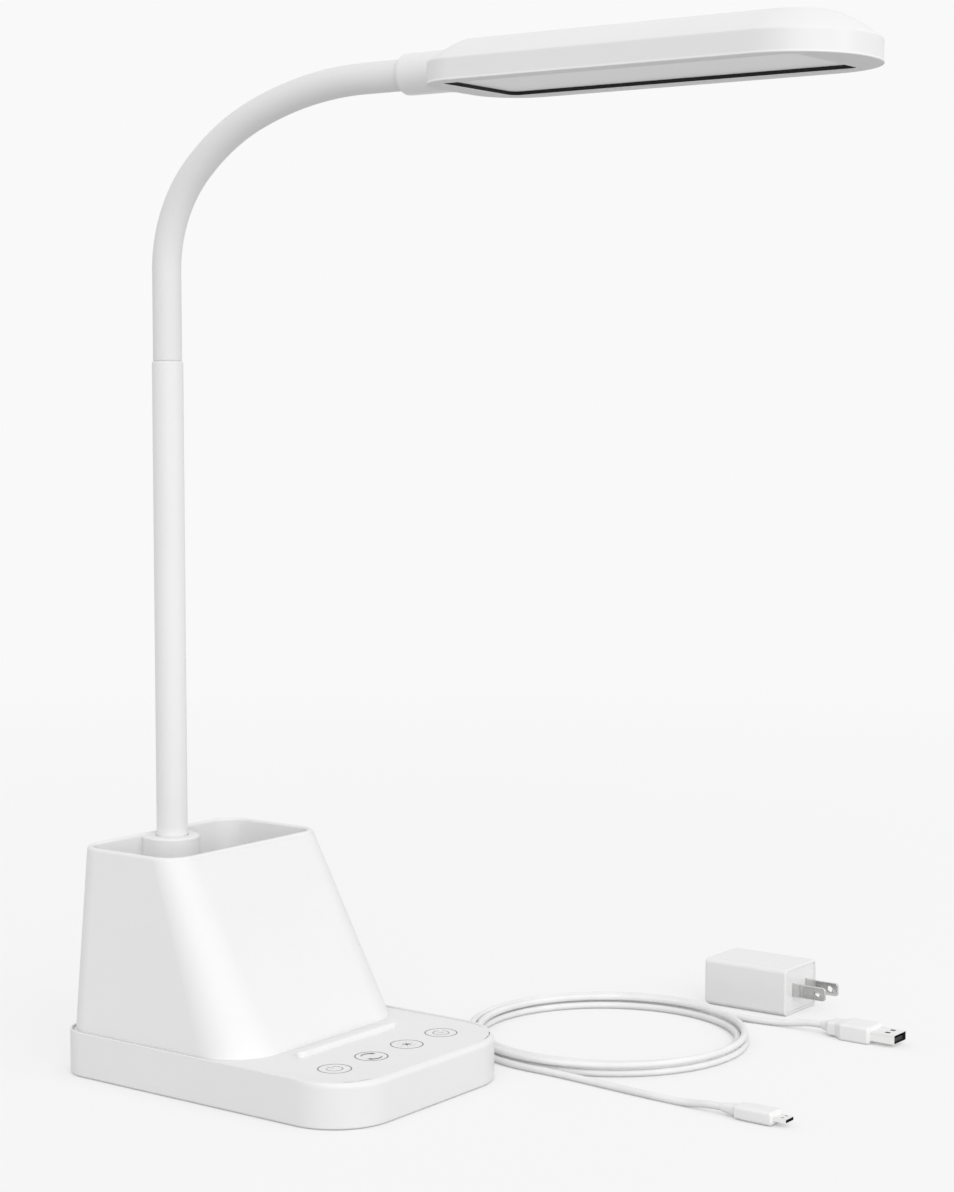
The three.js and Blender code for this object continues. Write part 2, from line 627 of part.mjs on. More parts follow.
class NeckStretch extends THREE.Curve {
  constructor(from, to) {
    super();
    this.from = from;
    this.to = to;
  }

  getPoint(share, target = new THREE.Vector3()) {
    return target.copy(neckAt(this.from + (this.to - this.from) * share).point);
  }
}

const jointLengths = Array.from({ length: NECK_JOINTS }, (_, i) =>
  NECK_FIRST_JOINT + ((NECK_LENGTH - NECK_FIRST_JOINT - NECK_LAST_JOINT) * i) / (NECK_JOINTS - 1));

// A ball and stem at a neck joint, on the side of the seam.
function ballAndStem(length) {
  const { point, heading } = neckAt(length);
  const lap = SHOULDER_GAP + STEM_RADIUS;
  const stem = new THREE.CylinderGeometry(STEM_RADIUS, STEM_RADIUS, lap, 12).translate(0, -lap / 2, 0);
  stem.rotateX(Math.PI / 2 + heading).translate(point.x, point.y, point.z);
  const ball = new THREE.SphereGeometry(BALL_RADIUS, 16, 10);
  ball.rotateX(Math.PI / 2 + heading).translate(point.x, point.y, point.z);
  return join(toSolid(stem), toSolid(ball));
}

// The hollow that takes the ball of the link before.
function socket(length) {
  const { point, heading } = neckAt(length);
  const ball = new THREE.SphereGeometry(BALL_RADIUS + CLEAR, 16, 10);
  return toSolid(ball.rotateX(Math.PI / 2 + heading).translate(point.x, point.y, point.z));
}

const neckTube = (from, to, diameter, steps) => along(new NeckStretch(from, to), diameter, 20, steps);

// Neck root, fixed in the rigid tube by its spigot
const spigotBottom = TUBE_TOP - SPIGOT_LENGTH;
lamp.add(named("neck_root", join(
  neckTube(CLEAR, jointLengths[0] - SHOULDER_GAP, NECK_DIAMETER, 1),
  post(SPIGOT_DIAMETER, 0, ARM_Y, spigotBottom, TUBE_TOP + 2 * CLEAR, 20),
  ballAndStem(jointLengths[0]),
), white));

// Links, each with a socket at its lower end and a ball at its upper end
for (let i = 1; i < NECK_JOINTS; i++) {
  const link = join(
    neckTube(jointLengths[i - 1] - SOCKET_LAP, jointLengths[i] - SHOULDER_GAP, NECK_DIAMETER, 3),
    ballAndStem(jointLengths[i]),
  );
  lamp.add(named("neck_link_" + i, cut(link, socket(jointLengths[i - 1])), white));
}

// Neck tip, whose spigot is held in the head's collar
const lastJoint = jointLengths[NECK_JOINTS - 1];
const sleeveEnd = NECK_LENGTH + COLLAR_SEAT - CLEAR;
lamp.add(named("neck_tip", cut(
  join(
    neckTube(lastJoint - SOCKET_LAP, sleeveEnd, NECK_DIAMETER, 1),
    neckTube(sleeveEnd - 2 * CLEAR, NECK_LENGTH + SPIGOT_LENGTH, SPIGOT_DIAMETER, 1),
  ),
  socket(lastJoint),
), white));

// Wire from the touch board, under the deck and up the arm to the neck
const wireHeight = BOTTOM_TOP + CLEAR + WEIGHT_THICK + CLEAR + WIRE_DIAMETER / 2;
const boardMiddle = BOARD_TOP - BOARD_THICK / 2;
const wireEntry = tubeBottom + WIRE_DIAMETER / 3;
const armWire = new THREE.CatmullRomCurve3([
  new THREE.Vector3(PAD_DIAMETER, KEY_Y + TOUCH_BOARD_DEPTH / 2 + CLEAR, boardMiddle),
  new THREE.Vector3(PAD_DIAMETER, KEY_Y + TOUCH_BOARD_DEPTH / 2 + 2 * WIRE_DIAMETER, boardMiddle),
  new THREE.Vector3(WIRE_DIAMETER, 0, wireHeight),
  new THREE.Vector3(0, ARM_Y - 6 * WIRE_DIAMETER, wireHeight),
  new THREE.Vector3(0, ARM_Y - 2 * WIRE_DIAMETER, wireHeight),
  new THREE.Vector3(0, ARM_Y - WIRE_DIAMETER / 3, wireEntry),
  new THREE.Vector3(0, ARM_Y, wireEntry + 3 * WIRE_DIAMETER),
  new THREE.Vector3(0, ARM_Y, spigotBottom / 2),
  new THREE.Vector3(0, ARM_Y, spigotBottom - CLEAR),
], false, "centripetal");
lamp.add(named("arm_wire", along(armWire, WIRE_DIAMETER, 8, 44), black));

// Head, built level with its collar's mouth at its own origin, then set on the end of the neck
const head = new THREE.Group();
const neckEnd = neckAt(NECK_LENGTH);
head.position.copy(neckEnd.point);
head.rotation.x = neckEnd.heading - Math.PI / 2;
lamp.add(head);

const headBottom = -HEAD_BELOW;
const bandTop = headBottom + BAND_HEIGHT;
const headTop = headBottom + HEAD_THICK;
const headOutline = {
  left: -HEAD_WIDTH / 2,
  right: HEAD_WIDTH / 2,
  front: -HEAD_TIP,
  rear: -HEAD_ROOT,
  frontCorner: HEAD_TIP_CORNER,
  rearCorner: HEAD_ROOT_CORNER,
  steps: 8,
};
const collarHole = () => rod(COLLAR_TENON + 2 * CLEAR, 0, 0, -HEAD_ROOT + OVERRUN,
  -HEAD_ROOT - COLLAR_IN_HEAD - CLEAR, 28);

// Bottom frame: the side band and the flange round the light opening
const frameHollow = prism(inset(headOutline, HEAD_WALL), headBottom + FLANGE_THICK, bandTop + OVERRUN);
const openingOutline = {
  ...inset(headOutline, FLANGE_WIDTH),
  front: headOutline.front + FLANGE_TIP,
  rear: headOutline.rear - FLANGE_ROOT,
  rearCorner: OPENING_ROOT_CORNER,
};
const lightOpening = prism(openingOutline, headBottom - OVERRUN, headBottom + FLANGE_THICK + OVERRUN);
head.add(named("head_frame", cut(loft([
  [headBottom, roundedRectangle(inset(headOutline, BEVEL_EDGE))],
  [headBottom + BEVEL_EDGE, roundedRectangle(headOutline)],
  [bandTop, roundedRectangle(headOutline)],
]), frameHollow, lightOpening, collarHole()), white));

// Top cover, a shallow shell with a broad domed bevel
const coverLow = bandTop + CLEAR;
const midHeight = bandTop + BEVEL_MID_RISE;
const coverLevels = (shrink, low, rise) => [
  [low, roundedRectangle(inset(headOutline, shrink))],
  [bandTop + BEVEL_EDGE + CLEAR, roundedRectangle(inset(headOutline, shrink))],
  [midHeight - rise, roundedRectangle(inset(headOutline, shrink + BEVEL_MID_INSET))],
  [headTop - BEVEL_EDGE - rise, roundedRectangle(inset(headOutline, shrink + BEVEL_INSET - BEVEL_EDGE))],
  [headTop - rise, roundedRectangle(inset(headOutline, shrink + BEVEL_INSET))],
];
head.add(named("head_cover", cut(
  loft(coverLevels(0, coverLow, 0)),
  loft(coverLevels(HEAD_WALL, coverLow - OVERRUN, HEAD_WALL)),
  collarHole(),
), white));

// Collar that grips the neck and is clamped between the frame and the cover
const collarBore = SPIGOT_DIAMETER + 2 * CLEAR;
const collarRadius = COLLAR_DIAMETER / 2;
const collarProfile = [
  [0, -HEAD_ROOT - COLLAR_IN_HEAD],
  [COLLAR_TENON / 2, -HEAD_ROOT - COLLAR_IN_HEAD],
  [COLLAR_TENON / 2, -HEAD_ROOT + CLEAR],
  [collarRadius, -HEAD_ROOT + CLEAR],
  [collarRadius, -COLLAR_ROUND],
  [collarRadius - COLLAR_ROUND / 4, -COLLAR_ROUND / 3],
  [collarRadius - COLLAR_ROUND, 0],
  [0, 0],
].map(([radius, place]) => new THREE.Vector2(radius, place));
head.add(named("head_collar", cut(
  toSolid(new THREE.LatheGeometry(collarProfile, 32)),
  rod(collarBore, 0, 0, OVERRUN, -HEAD_ROOT - COLLAR_IN_HEAD - OVERRUN, 24),
  rod(NECK_DIAMETER + 2 * CLEAR, 0, 0, OVERRUN, -COLLAR_SEAT, 28),
), white));

// Diffuser, light guide and LED board, stacked on the flange of the frame
const panelOutline = {
  ...inset(headOutline, PANEL_MARGIN),
  rear: -HEAD_ROOT - COLLAR_IN_HEAD - 2 * CLEAR - WIRE_DIAMETER,
};
const diffuserLow = headBottom + FLANGE_THICK + CLEAR;
const diffuserOutline = inset(headOutline, PANEL_MARGIN);
const guideLow = diffuserLow + DIFFUSER_THICK + CLEAR;
const ledLow = guideLow + GUIDE_THICK + CLEAR;
head.add(named("diffuser", cut(
  prism(diffuserOutline, diffuserLow, diffuserLow + DIFFUSER_THICK),
  collarHole(),
), diffuserWhite));
head.add(named("light_guide", prism(panelOutline, guideLow, guideLow + GUIDE_THICK), clearPlastic));
head.add(named("led_board", prism(panelOutline, ledLow, ledLow + LED_BOARD_THICK), aluminium));

// Wire from the neck's end to the LED board
const wireOut = -SPIGOT_LENGTH - CLEAR;
const wireIn = panelOutline.rear + CLEAR;
const ledMiddle = ledLow + LED_BOARD_THICK / 2;
head.add(named("head_wire", along(new THREE.CatmullRomCurve3([
  new THREE.Vector3(0, wireOut, 0),
  new THREE.Vector3(0, wireOut - 2 * WIRE_DIAMETER, 0),
  new THREE.Vector3(0, (wireOut + wireIn) / 2, ledMiddle / 2),
  new THREE.Vector3(0, wireIn + WIRE_DIAMETER, ledMiddle),
  new THREE.Vector3(0, wireIn, ledMiddle),
]), WIRE_DIAMETER, 8, 8), black));

// Lead: a coil of three and a half turns on the table, wound inwards below and outwards above
const leadRadius = LEAD_DIAMETER / 2;
const CLIMB_TURNS = 0.5;

class CoilCurve extends THREE.Curve {
  getPoint(share, target = new THREE.Vector3()) {
    const turn = share * COIL_TURNS;
    const middle = COIL_TURNS / 2;
    const inwards = middle - Math.abs(turn - middle);
    const climb = THREE.MathUtils.smoothstep(turn, middle - CLIMB_TURNS / 2, middle + CLIMB_TURNS / 2);
    const radius = COIL_OUTER_RADIUS - COIL_PITCH * inwards;
    const angle = Math.PI - 2 * Math.PI * turn;
    return target.set(
      COIL_X + radius * Math.cos(angle),
      COIL_Y + radius * Math.sin(angle),
      leadRadius + COIL_PITCH * climb,
    );
  }
}
const coil = new CoilCurve();
const coilSteps = COIL_TURNS * COIL_STEPS_PER_TURN;

// A tube of flat-ended rings, centred on the points and square to the way from each point to the next.
function ringTube(points, diameter, sides) {
  const positions = [];
  const index = [];
  const up = new THREE.Vector3(0, 0, 1);
  points.forEach((point, k) => {
    const before = points[Math.max(k - 1, 0)];
    const after = points[Math.min(k + 1, points.length - 1)];
    const ahead = after.clone().sub(before).normalize();
    const side = ahead.clone().cross(up).normalize();
    const top = side.clone().cross(ahead);
    for (let i = 0; i < sides; i++) {
      const angle = (2 * Math.PI * i) / sides;
      const corner = point.clone()
        .addScaledVector(top, (diameter / 2) * Math.cos(angle))
        .addScaledVector(side, (diameter / 2) * Math.sin(angle));
      positions.push(...corner);
    }
  });
  const ring = (k, i) => k * sides + (i % sides);
  for (let k = 0; k + 1 < points.length; k++) {
    for (let i = 0; i < sides; i++) {
      index.push(ring(k, i), ring(k + 1, i + 1), ring(k + 1, i), ring(k, i), ring(k, i + 1), ring(k + 1, i + 1));
    }
  }
  const last = points.length - 1;
  for (let i = 1; i + 1 < sides; i++) {
    index.push(ring(0, 0), ring(0, i + 1), ring(0, i), ring(last, 0), ring(last, i), ring(last, i + 1));
  }
  return toSolid(new THREE.BufferGeometry()
    .setAttribute("position", new THREE.Float32BufferAttribute(positions, 3))
    .setIndex(index));
}

// The coil's points, with one lead diameter of straight run towards -Y at each end.
function coilPoints() {
  const points = Array.from({ length: coilSteps + 1 }, (_, i) => coil.getPoint(i / coilSteps));
  const run = new THREE.Vector3(0, -LEAD_DIAMETER, 0);
  return [points[0].clone().add(run), ...points, points[coilSteps].clone().add(run)];
}

// Prints the least gap of the coil to itself, between stretches that lie at least half a turn apart.
function coilGap() {
  const samples = 240 * COIL_TURNS;
  const points = Array.from({ length: samples + 1 }, (_, i) => coil.getPoint(i / samples));
  let least = Infinity;
  for (let i = 0; i <= samples; i++) {
    for (let j = i + 120; j <= samples; j++) least = Math.min(least, points[i].distanceTo(points[j]));
  }
  return least - LEAD_DIAMETER;
}
console.log("least gap of the coil to itself, mm:", coilGap().toFixed(2));

lamp.add(named("lead_coil", ringTube(coilPoints(), LEAD_DIAMETER, COIL_SIDES), softWhite));

// Tails of the lead, from points chosen by hand along the table, in millimetres
const MICRO_TAIL = [
  [60, -185.7, 3.1], [60, -179, 2.9], [60.2, -167, 1.7], [61.2, -147, 1.6],
  [63, -125, 1.6], [64.8, -105, 1.6], [65.4, -92, 1.6], [65.4, -86.5, 1.6],
];
const USB_TAIL = [
  [196.6, -86.5, 5.4], [196.6, -93, 5.2], [197.2, -107, 2.6], [198.5, -121, 1.6],
  [200.4, -137, 2.1], [201.4, -149, 3.7], [201.6, -155.5, 3.9],
];
const tail = (points, steps) => along(
  new THREE.CatmullRomCurve3(points.map((point) => new THREE.Vector3(...point)), false, "centripetal"),
  LEAD_DIAMETER, LEAD_SIDES, steps);
lamp.add(named("lead_micro_tail", tail(MICRO_TAIL, 18), softWhite));
lamp.add(named("lead_usb_tail", tail(USB_TAIL, 16), softWhite));

// A plug that points along -Y: a chamfered moulding with a tapered relief, and a metal shell in its nose
function plugBody(sizes, x, y) {
  const { width, height, length, reliefRoot } = sizes;
  const half = [width / 2, height / 2];
  const outline = (shrink) => {
    const [w, h] = [half[0] - shrink, half[1] - shrink];
    const c = PLUG_CHAMFER;
    return [[w, -h + c], [w, h - c], [w - c, h], [-w + c, h], [-w, h - c], [-w, -h + c], [-w + c, -h], [w - c, -h]];
  };
  const shell = loft([
    [0, outline(PLUG_CHAMFER / 2)],
    [PLUG_CHAMFER, outline(0)],
    [length - PLUG_CHAMFER, outline(0)],
    [length, outline(PLUG_CHAMFER / 2)],
  ]);
  const relief = turned([[0, length - PLUG_CHAMFER], [reliefRoot / 2, length - PLUG_CHAMFER],
    [RELIEF_TIP / 2, length + RELIEF_LENGTH], [0, length + RELIEF_LENGTH]], 0, 0, 16);
  const solid = toGeometry(join(shell, relief));
  return toSolid(solid.rotateX(-Math.PI / 2).translate(x, y, half[1]));
}

// A metal plug shell with an open mouth towards -Y and a tongue inside.
function plugShell(sizes, x, nose, z) {
  const { width, height, length, wall, tongue } = sizes;
  const shell = cut(
    block(width, length, height, x, nose - length / 2, z - height / 2),
    block(width - 2 * wall, length - wall + OVERRUN, height - 2 * wall,
      x, nose - wall - (length - wall + OVERRUN) / 2, z - height / 2 + wall),
  );
  return join(shell, block(width - 4 * wall, length - 2 * wall, tongue,
    x, nose - (length - 2 * wall) / 2 - wall / 2, z + height / 2 - wall - CLEAR - tongue));
}

const microPlug = { width: MICRO_PLUG_WIDTH, height: MICRO_PLUG_HEIGHT, length: MICRO_PLUG_LENGTH, reliefRoot: RELIEF_ROOT };
const usbPlug = { width: USB_PLUG_WIDTH, height: USB_PLUG_HEIGHT, length: USB_PLUG_LENGTH, reliefRoot: RELIEF_ROOT };
const microShell = {
  width: MICRO_SHELL_WIDTH,
  height: MICRO_SHELL_HEIGHT,
  length: MICRO_SHELL_LENGTH,
  wall: MICRO_SHELL_WALL,
  tongue: MICRO_SHELL_WALL,
};
const usbShell = {
  width: USB_SHELL_WIDTH,
  height: USB_SHELL_HEIGHT,
  length: USB_SHELL_LENGTH,
  wall: USB_SHELL_WALL,
  tongue: USB_TONGUE,
};

function addPlug(name, body, shell, [x, y]) {
  const nose = y - CLEAR - RELIEF_LENGTH - body.length;
  lamp.add(named(name + "_plug", plugBody(body, x, nose), softWhite));
  lamp.add(named(name + "_plug_shell", plugShell(shell, x, nose - CLEAR, body.height / 2), nickel));
}
addPlug("micro", microPlug, microShell, MICRO_TAIL[0]);
addPlug("usb", usbPlug, usbShell, USB_TAIL[USB_TAIL.length - 1]);

// Adapter: a case open towards -Y, a face with two blades, and a USB port in its far end
const adapterFront = ADAPTER_Y - ADAPTER_LENGTH / 2;
const adapterRear = ADAPTER_Y + ADAPTER_LENGTH / 2;
const adapterMiddle = ADAPTER_HEIGHT / 2;

// A block along Y with rounded long edges, between two places.
function roundedBar(width, height, round, x, z, from, to) {
  const bar = {
    left: -width / 2,
    right: width / 2,
    front: -height / 2,
    rear: height / 2,
    frontCorner: round,
    rearCorner: round,
    steps: 4,
  };
  return toSolid(toGeometry(prism(bar, 0, Math.abs(to - from))).rotateX(-Math.PI / 2).translate(x, Math.min(from, to), z));
}
const adapterCore = roundedBar(ADAPTER_WIDTH - 2 * ADAPTER_WALL, ADAPTER_HEIGHT - 2 * ADAPTER_WALL, ADAPTER_ROUND / 2,
  ADAPTER_X, adapterMiddle, adapterFront - OVERRUN, adapterRear - ADAPTER_WALL);
const portHole = block(PORT_WIDTH + 2 * CLEAR, 2 * PORT_DEPTH, PORT_HEIGHT + 2 * CLEAR,
  ADAPTER_X, adapterRear, adapterMiddle - PORT_HEIGHT / 2 - CLEAR);
const faceSeat = roundedBar(ADAPTER_WIDTH - 2 * ADAPTER_FACE_MARGIN, ADAPTER_HEIGHT - 2 * ADAPTER_FACE_MARGIN,
  ADAPTER_ROUND / 2, ADAPTER_X, adapterMiddle, adapterFront - OVERRUN, adapterFront + ADAPTER_FACE_THICK + CLEAR);
lamp.add(named("adapter_case", cut(
  roundedBar(ADAPTER_WIDTH, ADAPTER_HEIGHT, ADAPTER_ROUND, ADAPTER_X, adapterMiddle, adapterFront, adapterRear),
  adapterCore, faceSeat, portHole,
), white));

const bladeHoles = [-1, 1].map((side) => block(BLADE_THICK + 2 * CLEAR, 2 * OVERRUN, BLADE_WIDTH + 2 * CLEAR,
  ADAPTER_X + (side * BLADE_SPACING) / 2, adapterFront, adapterMiddle - BLADE_WIDTH / 2 - CLEAR));
lamp.add(named("adapter_face", cut(
  roundedBar(ADAPTER_WIDTH - 2 * (ADAPTER_FACE_MARGIN + CLEAR), ADAPTER_HEIGHT - 2 * (ADAPTER_FACE_MARGIN + CLEAR),
    ADAPTER_ROUND / 2, ADAPTER_X, adapterMiddle, adapterFront, adapterFront + ADAPTER_FACE_THICK),
  ...bladeHoles,
), white));

// A flat blade with a tapered tip and a round hole through it
function blade(side) {
  const x = ADAPTER_X + (side * BLADE_SPACING) / 2;
  const tip = adapterFront - BLADE_LENGTH;
  const outline = [
    [tip, -BLADE_WIDTH / 2 + BLADE_TIP_CHAMFER],
    [tip + BLADE_TIP_CHAMFER, -BLADE_WIDTH / 2],
    [adapterFront + BLADE_ROOT, -BLADE_WIDTH / 2],
    [adapterFront + BLADE_ROOT, BLADE_WIDTH / 2],
    [tip + BLADE_TIP_CHAMFER, BLADE_WIDTH / 2],
    [tip, BLADE_WIDTH / 2 - BLADE_TIP_CHAMFER],
  ];
  const hole = [];
  for (let i = 0; i < 16; i++) {
    const angle = (-2 * Math.PI * i) / 16;
    hole.push(new THREE.Vector2(
      tip + BLADE_HOLE_FROM_TIP + (BLADE_HOLE / 2) * Math.cos(angle),
      (BLADE_HOLE / 2) * Math.sin(angle),
    ));
  }
  const shape = new THREE.Shape(outline.map(([y, z]) => new THREE.Vector2(y, z)));
  shape.holes.push(new THREE.Path(hole));
  const flat = new THREE.ExtrudeGeometry(shape, { depth: BLADE_THICK, bevelEnabled: false });
  flat.rotateZ(Math.PI / 2).rotateY(Math.PI / 2);
  return toSolid(flat.translate(x - BLADE_THICK / 2, 0, adapterMiddle));
}
lamp.add(named("adapter_blade_left", blade(-1), nickel));
lamp.add(named("adapter_blade_right", blade(1), nickel));

const portFace = adapterRear - CLEAR;
lamp.add(named("adapter_port", cut(
  block(PORT_WIDTH, PORT_DEPTH, PORT_HEIGHT, ADAPTER_X, portFace - PORT_DEPTH / 2, adapterMiddle - PORT_HEIGHT / 2),
  block(PORT_MOUTH_WIDTH, 2 * PORT_MOUTH_DEPTH, PORT_MOUTH_HEIGHT, ADAPTER_X, portFace,
    adapterMiddle - PORT_MOUTH_HEIGHT / 2),
), nickel));

export default lamp;
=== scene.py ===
"""Desk lamp with a pen cup, a flexible neck and a flat LED head, and its USB power set beside it."""

import math

import bmesh
import bpy
from mathutils import Matrix, Vector


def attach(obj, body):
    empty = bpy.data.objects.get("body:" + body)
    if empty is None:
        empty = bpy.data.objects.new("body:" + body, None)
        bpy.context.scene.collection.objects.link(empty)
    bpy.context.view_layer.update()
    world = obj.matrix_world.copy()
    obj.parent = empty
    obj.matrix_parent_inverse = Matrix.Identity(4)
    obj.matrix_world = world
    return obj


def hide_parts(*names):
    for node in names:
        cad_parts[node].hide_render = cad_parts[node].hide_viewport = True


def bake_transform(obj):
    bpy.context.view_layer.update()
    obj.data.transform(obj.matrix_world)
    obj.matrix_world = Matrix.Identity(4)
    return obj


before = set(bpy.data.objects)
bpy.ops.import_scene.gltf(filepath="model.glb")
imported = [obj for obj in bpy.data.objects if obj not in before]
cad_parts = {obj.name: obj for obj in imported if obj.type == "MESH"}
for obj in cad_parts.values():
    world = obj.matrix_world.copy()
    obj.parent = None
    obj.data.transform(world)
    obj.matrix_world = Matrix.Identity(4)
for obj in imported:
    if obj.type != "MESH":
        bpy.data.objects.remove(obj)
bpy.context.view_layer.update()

MM = 0.001
scene = bpy.context.scene
scene.view_settings.view_transform = "Standard"

# Camera of the photograph
lens = bpy.data.cameras.new("lens")
lens.lens = 73.99
lens.sensor_width = 36
lens.clip_end = 20
camera = bpy.data.objects.new("camera", lens)
scene.collection.objects.link(camera)
camera.location = (-0.8023, -0.6974, 0.2943)
camera.rotation_euler = (math.radians(85.5), 0, math.radians(-53.5))
scene.camera = camera


def round_box(half_width, front, rear, front_corner, rear_corner=None, middle=0):
    """The sides and corner radii of a rounded rectangle seen from above."""
    if rear_corner is None:
        rear_corner = front_corner
    return {"left": middle - half_width, "right": middle + half_width, "front": front, "rear": rear,
            "front_corner": front_corner, "rear_corner": rear_corner}


# Sizes of the lamp in millimetres, as in the part's source
DECK_TOP = 19.4
BASE_TOP = 20
ARM_Y = 68.4
CUP_FOOT = 19.7
CUP_RIM = 100
WELL_FLOOR = 22.7
TUBE_RADIUS = 7
TUBE_TOP = 313
NECK_RADIUS = 6.45
NECK_ARCS = ((59.7, 46.4), (103.2, 69.7), (170.4, 90.5))  # radius, heading in degrees at the arc's end
NECK_STRAIGHT = 40
NECK_LAST_RUN = 21.6
JOINT_COUNT = 9
FIRST_JOINT = 12  # along the neck from the tube's end
AFTER_LAST_JOINT = 14
HEAD_BOTTOM = -8.4
BAND_TOP = -0.5
HEAD_TOP = 9.2
COLLAR_RADIUS = 8.5
LEAD_RADIUS = 1.6
BASE = round_box(59.5, -82.5, 82.5, 27, 14)
CUP_FOOT_BOX = round_box(57.1, -24, 80.1, 24, 12)
CUP_RIM_BOX = round_box(50, 20.5, 79.5, 13)
HEAD = round_box(33.1, -213.2, -25, 31.5, 21)

arc_starts = (0, *(end for _, end in NECK_ARCS))
arc_lengths = [radius * math.radians(end - start) for (radius, end), start in zip(NECK_ARCS, arc_starts)]
NECK_LENGTH = NECK_STRAIGHT + NECK_LAST_RUN + sum(arc_lengths)
JOINT_STEP = (NECK_LENGTH - FIRST_JOINT - AFTER_LAST_JOINT) / (JOINT_COUNT - 1)


# Shader maths
class Socket:
    """A socket of a shader, with the sums and products that the finishes use."""

    def __init__(self, finish, link):
        self.finish = finish
        self.link = link

    def _math(self, operation, *values):
        return self.finish.node("ShaderNodeMath", {"operation": operation}, dict(enumerate(values)))

    def __add__(self, other):
        return self._math("ADD", self, other)

    def __sub__(self, other):
        return self._math("SUBTRACT", self, other)

    def __rsub__(self, other):
        return self._math("SUBTRACT", other, self)

    def __mul__(self, other):
        return self._math("MULTIPLY", self, other)

    __radd__ = __add__
    __rmul__ = __mul__

    def over(self, low, high):
        """0 below low, 1 above high, smooth between them."""
        return self.finish.node("ShaderNodeMapRange", {"interpolation_type": "SMOOTHSTEP"},
                                {"Value": self, "From Min": low, "From Max": high})


class Finish:
    """One material, built node by node."""

    def __init__(self, name, roughness=0.5, metallic=0.0, **constants):
        self.material = bpy.data.materials.new(name)
        self.material.use_nodes = True
        self.tree = self.material.node_tree
        self.shader = self.tree.nodes["Principled BSDF"]
        self.set("Roughness", roughness)
        self.set("Metallic", metallic)
        for socket, value in constants.items():
            self.set(socket.replace("_", " "), value)
        self.place = self.node("ShaderNodeTexCoord", output="Object")

    def node(self, kind, settings=None, sockets=None, output=0):
        """Adds a node, with its settings first and then the values or links of its sockets."""
        made = self.tree.nodes.new(kind)
        for key, value in (settings or {}).items():
            setattr(made, key, value)
        for key, value in (sockets or {}).items():
            if isinstance(value, Socket):
                self.tree.links.new(value.link, made.inputs[key])
            else:
                made.inputs[key].default_value = value
        return None if output is None else Socket(self, made.outputs[output])

    def set(self, socket, value):
        if isinstance(value, Socket):
            self.tree.links.new(value.link, self.shader.inputs[socket])
        else:
            self.shader.inputs[socket].default_value = value

    def noise(self, scale, detail, roughness, place=None):
        sockets = {"Vector": place or self.place, "Scale": scale, "Detail": detail, "Roughness": roughness}
        return self.node("ShaderNodeTexNoise", {"noise_dimensions": "3D"}, sockets)

    def mix(self, share, a, b):
        sockets = {"Factor": share, "A": a, "B": b}
        return self.node("ShaderNodeMix", {"data_type": "RGBA"}, sockets, output=2)

    def edge(self):
        """1 along convex edges, 0 on flats."""
        return self.node("ShaderNodeNewGeometry", output="Pointiness").over(0.52, 0.62)

    def corner(self, reach):
        """1 in the open, less in grooves and corners within reach."""
        return self.node("ShaderNodeAmbientOcclusion", {"samples": 8}, {"Distance": reach}, output="AO")

    def bump(self, height, strength, distance=0.0001):
        self.set("Normal", self.node("ShaderNodeBump", None,
                                     {"Height": height, "Strength": strength, "Distance": distance}))


def grey(value, warm=0.0):
    """A grey, or with warm a slightly yellowish one."""
    return (value + warm, value, value - warm, 1)


def moulded(name, value, roughness, grain=0.25, scale=1400):
    """Moulded plastic: a fine spark-eroded grain, a slight cloudiness, handled patches, painted edge
    highlights.
    """
    finish = Finish(name, roughness, IOR=1.49)
    cloud = finish.noise(18, 4, 0.6)
    fine = finish.noise(scale, 2, 0.6)
    body = finish.mix(cloud.over(0.35, 0.7), grey(value * 0.985), grey(value))
    handled = finish.noise(60, 5, 0.65).over(0.55, 0.8)
    # Painted highlight: convex edges are mixed towards a lighter grey.
    finish.set("Base Color", finish.mix(finish.edge() * 0.5, body, grey(min(value * 1.03, 0.95))))
    finish.set("Roughness", roughness + (fine - 0.5) * 0.1 + handled * 0.06)
    finish.bump(fine + cloud * 0.4, grain)
    return finish.material


def underside_white():
    """The light's frame from below: the same plastic, spark eroded to a matt face."""
    finish = Finish("head_underside_matt", 0.7, IOR=1.25)
    grain = finish.noise(1500, 3, 0.6)
    cloud = finish.noise(18, 4, 0.6)
    finish.set("Base Color", finish.mix(cloud.over(0.35, 0.7), grey(0.79), grey(0.81)))
    finish.set("Roughness", 0.62 + grain * 0.16)
    finish.bump(grain, 0.3)
    return finish.material


def tube_white():
    """Powder coat on steel: a faint orange peel."""
    finish = Finish("tube_white_powder_coat", 0.34, IOR=1.42)
    peel = finish.noise(900, 2, 0.4)
    cloud = finish.noise(25, 3, 0.5)
    finish.set("Base Color", finish.mix(cloud, grey(0.79), grey(0.82)))
    finish.set("Roughness", 0.3 + peel * 0.12)
    finish.bump(peel, 0.35, 0.00006)
    return finish.material


def sleeve_white():
    """Soft sleeve of the neck: matt, with a fine silky grain and a little dust in it."""
    finish = Finish("neck_sleeve_white", 0.5, IOR=1.38)
    silk = finish.noise(2200, 2, 0.5)
    dust = finish.noise(140, 6, 0.7).over(0.62, 0.8)
    finish.set("Base Color", finish.mix(dust * 0.35, grey(0.765), grey(0.72, 0.004)))
    finish.set("Roughness", 0.42 + silk * 0.12 + dust * 0.1)
    finish.bump(silk, 0.2, 0.00005)
    return finish.material


def soft_white():
    """Silicone of the stop on the deck: matt, with worn patches."""
    finish = Finish("phone_stop_soft_white", 0.6, IOR=1.41)
    grain = finish.noise(1600, 3, 0.6)
    worn = finish.noise(90, 5, 0.7).over(0.5, 0.75)
    finish.set("Base Color", finish.mix(worn * 0.4, grey(0.82), grey(0.78, 0.003)))
    finish.set("Roughness", 0.52 + grain * 0.12)
    finish.bump(grain, 0.3)
    return finish.material


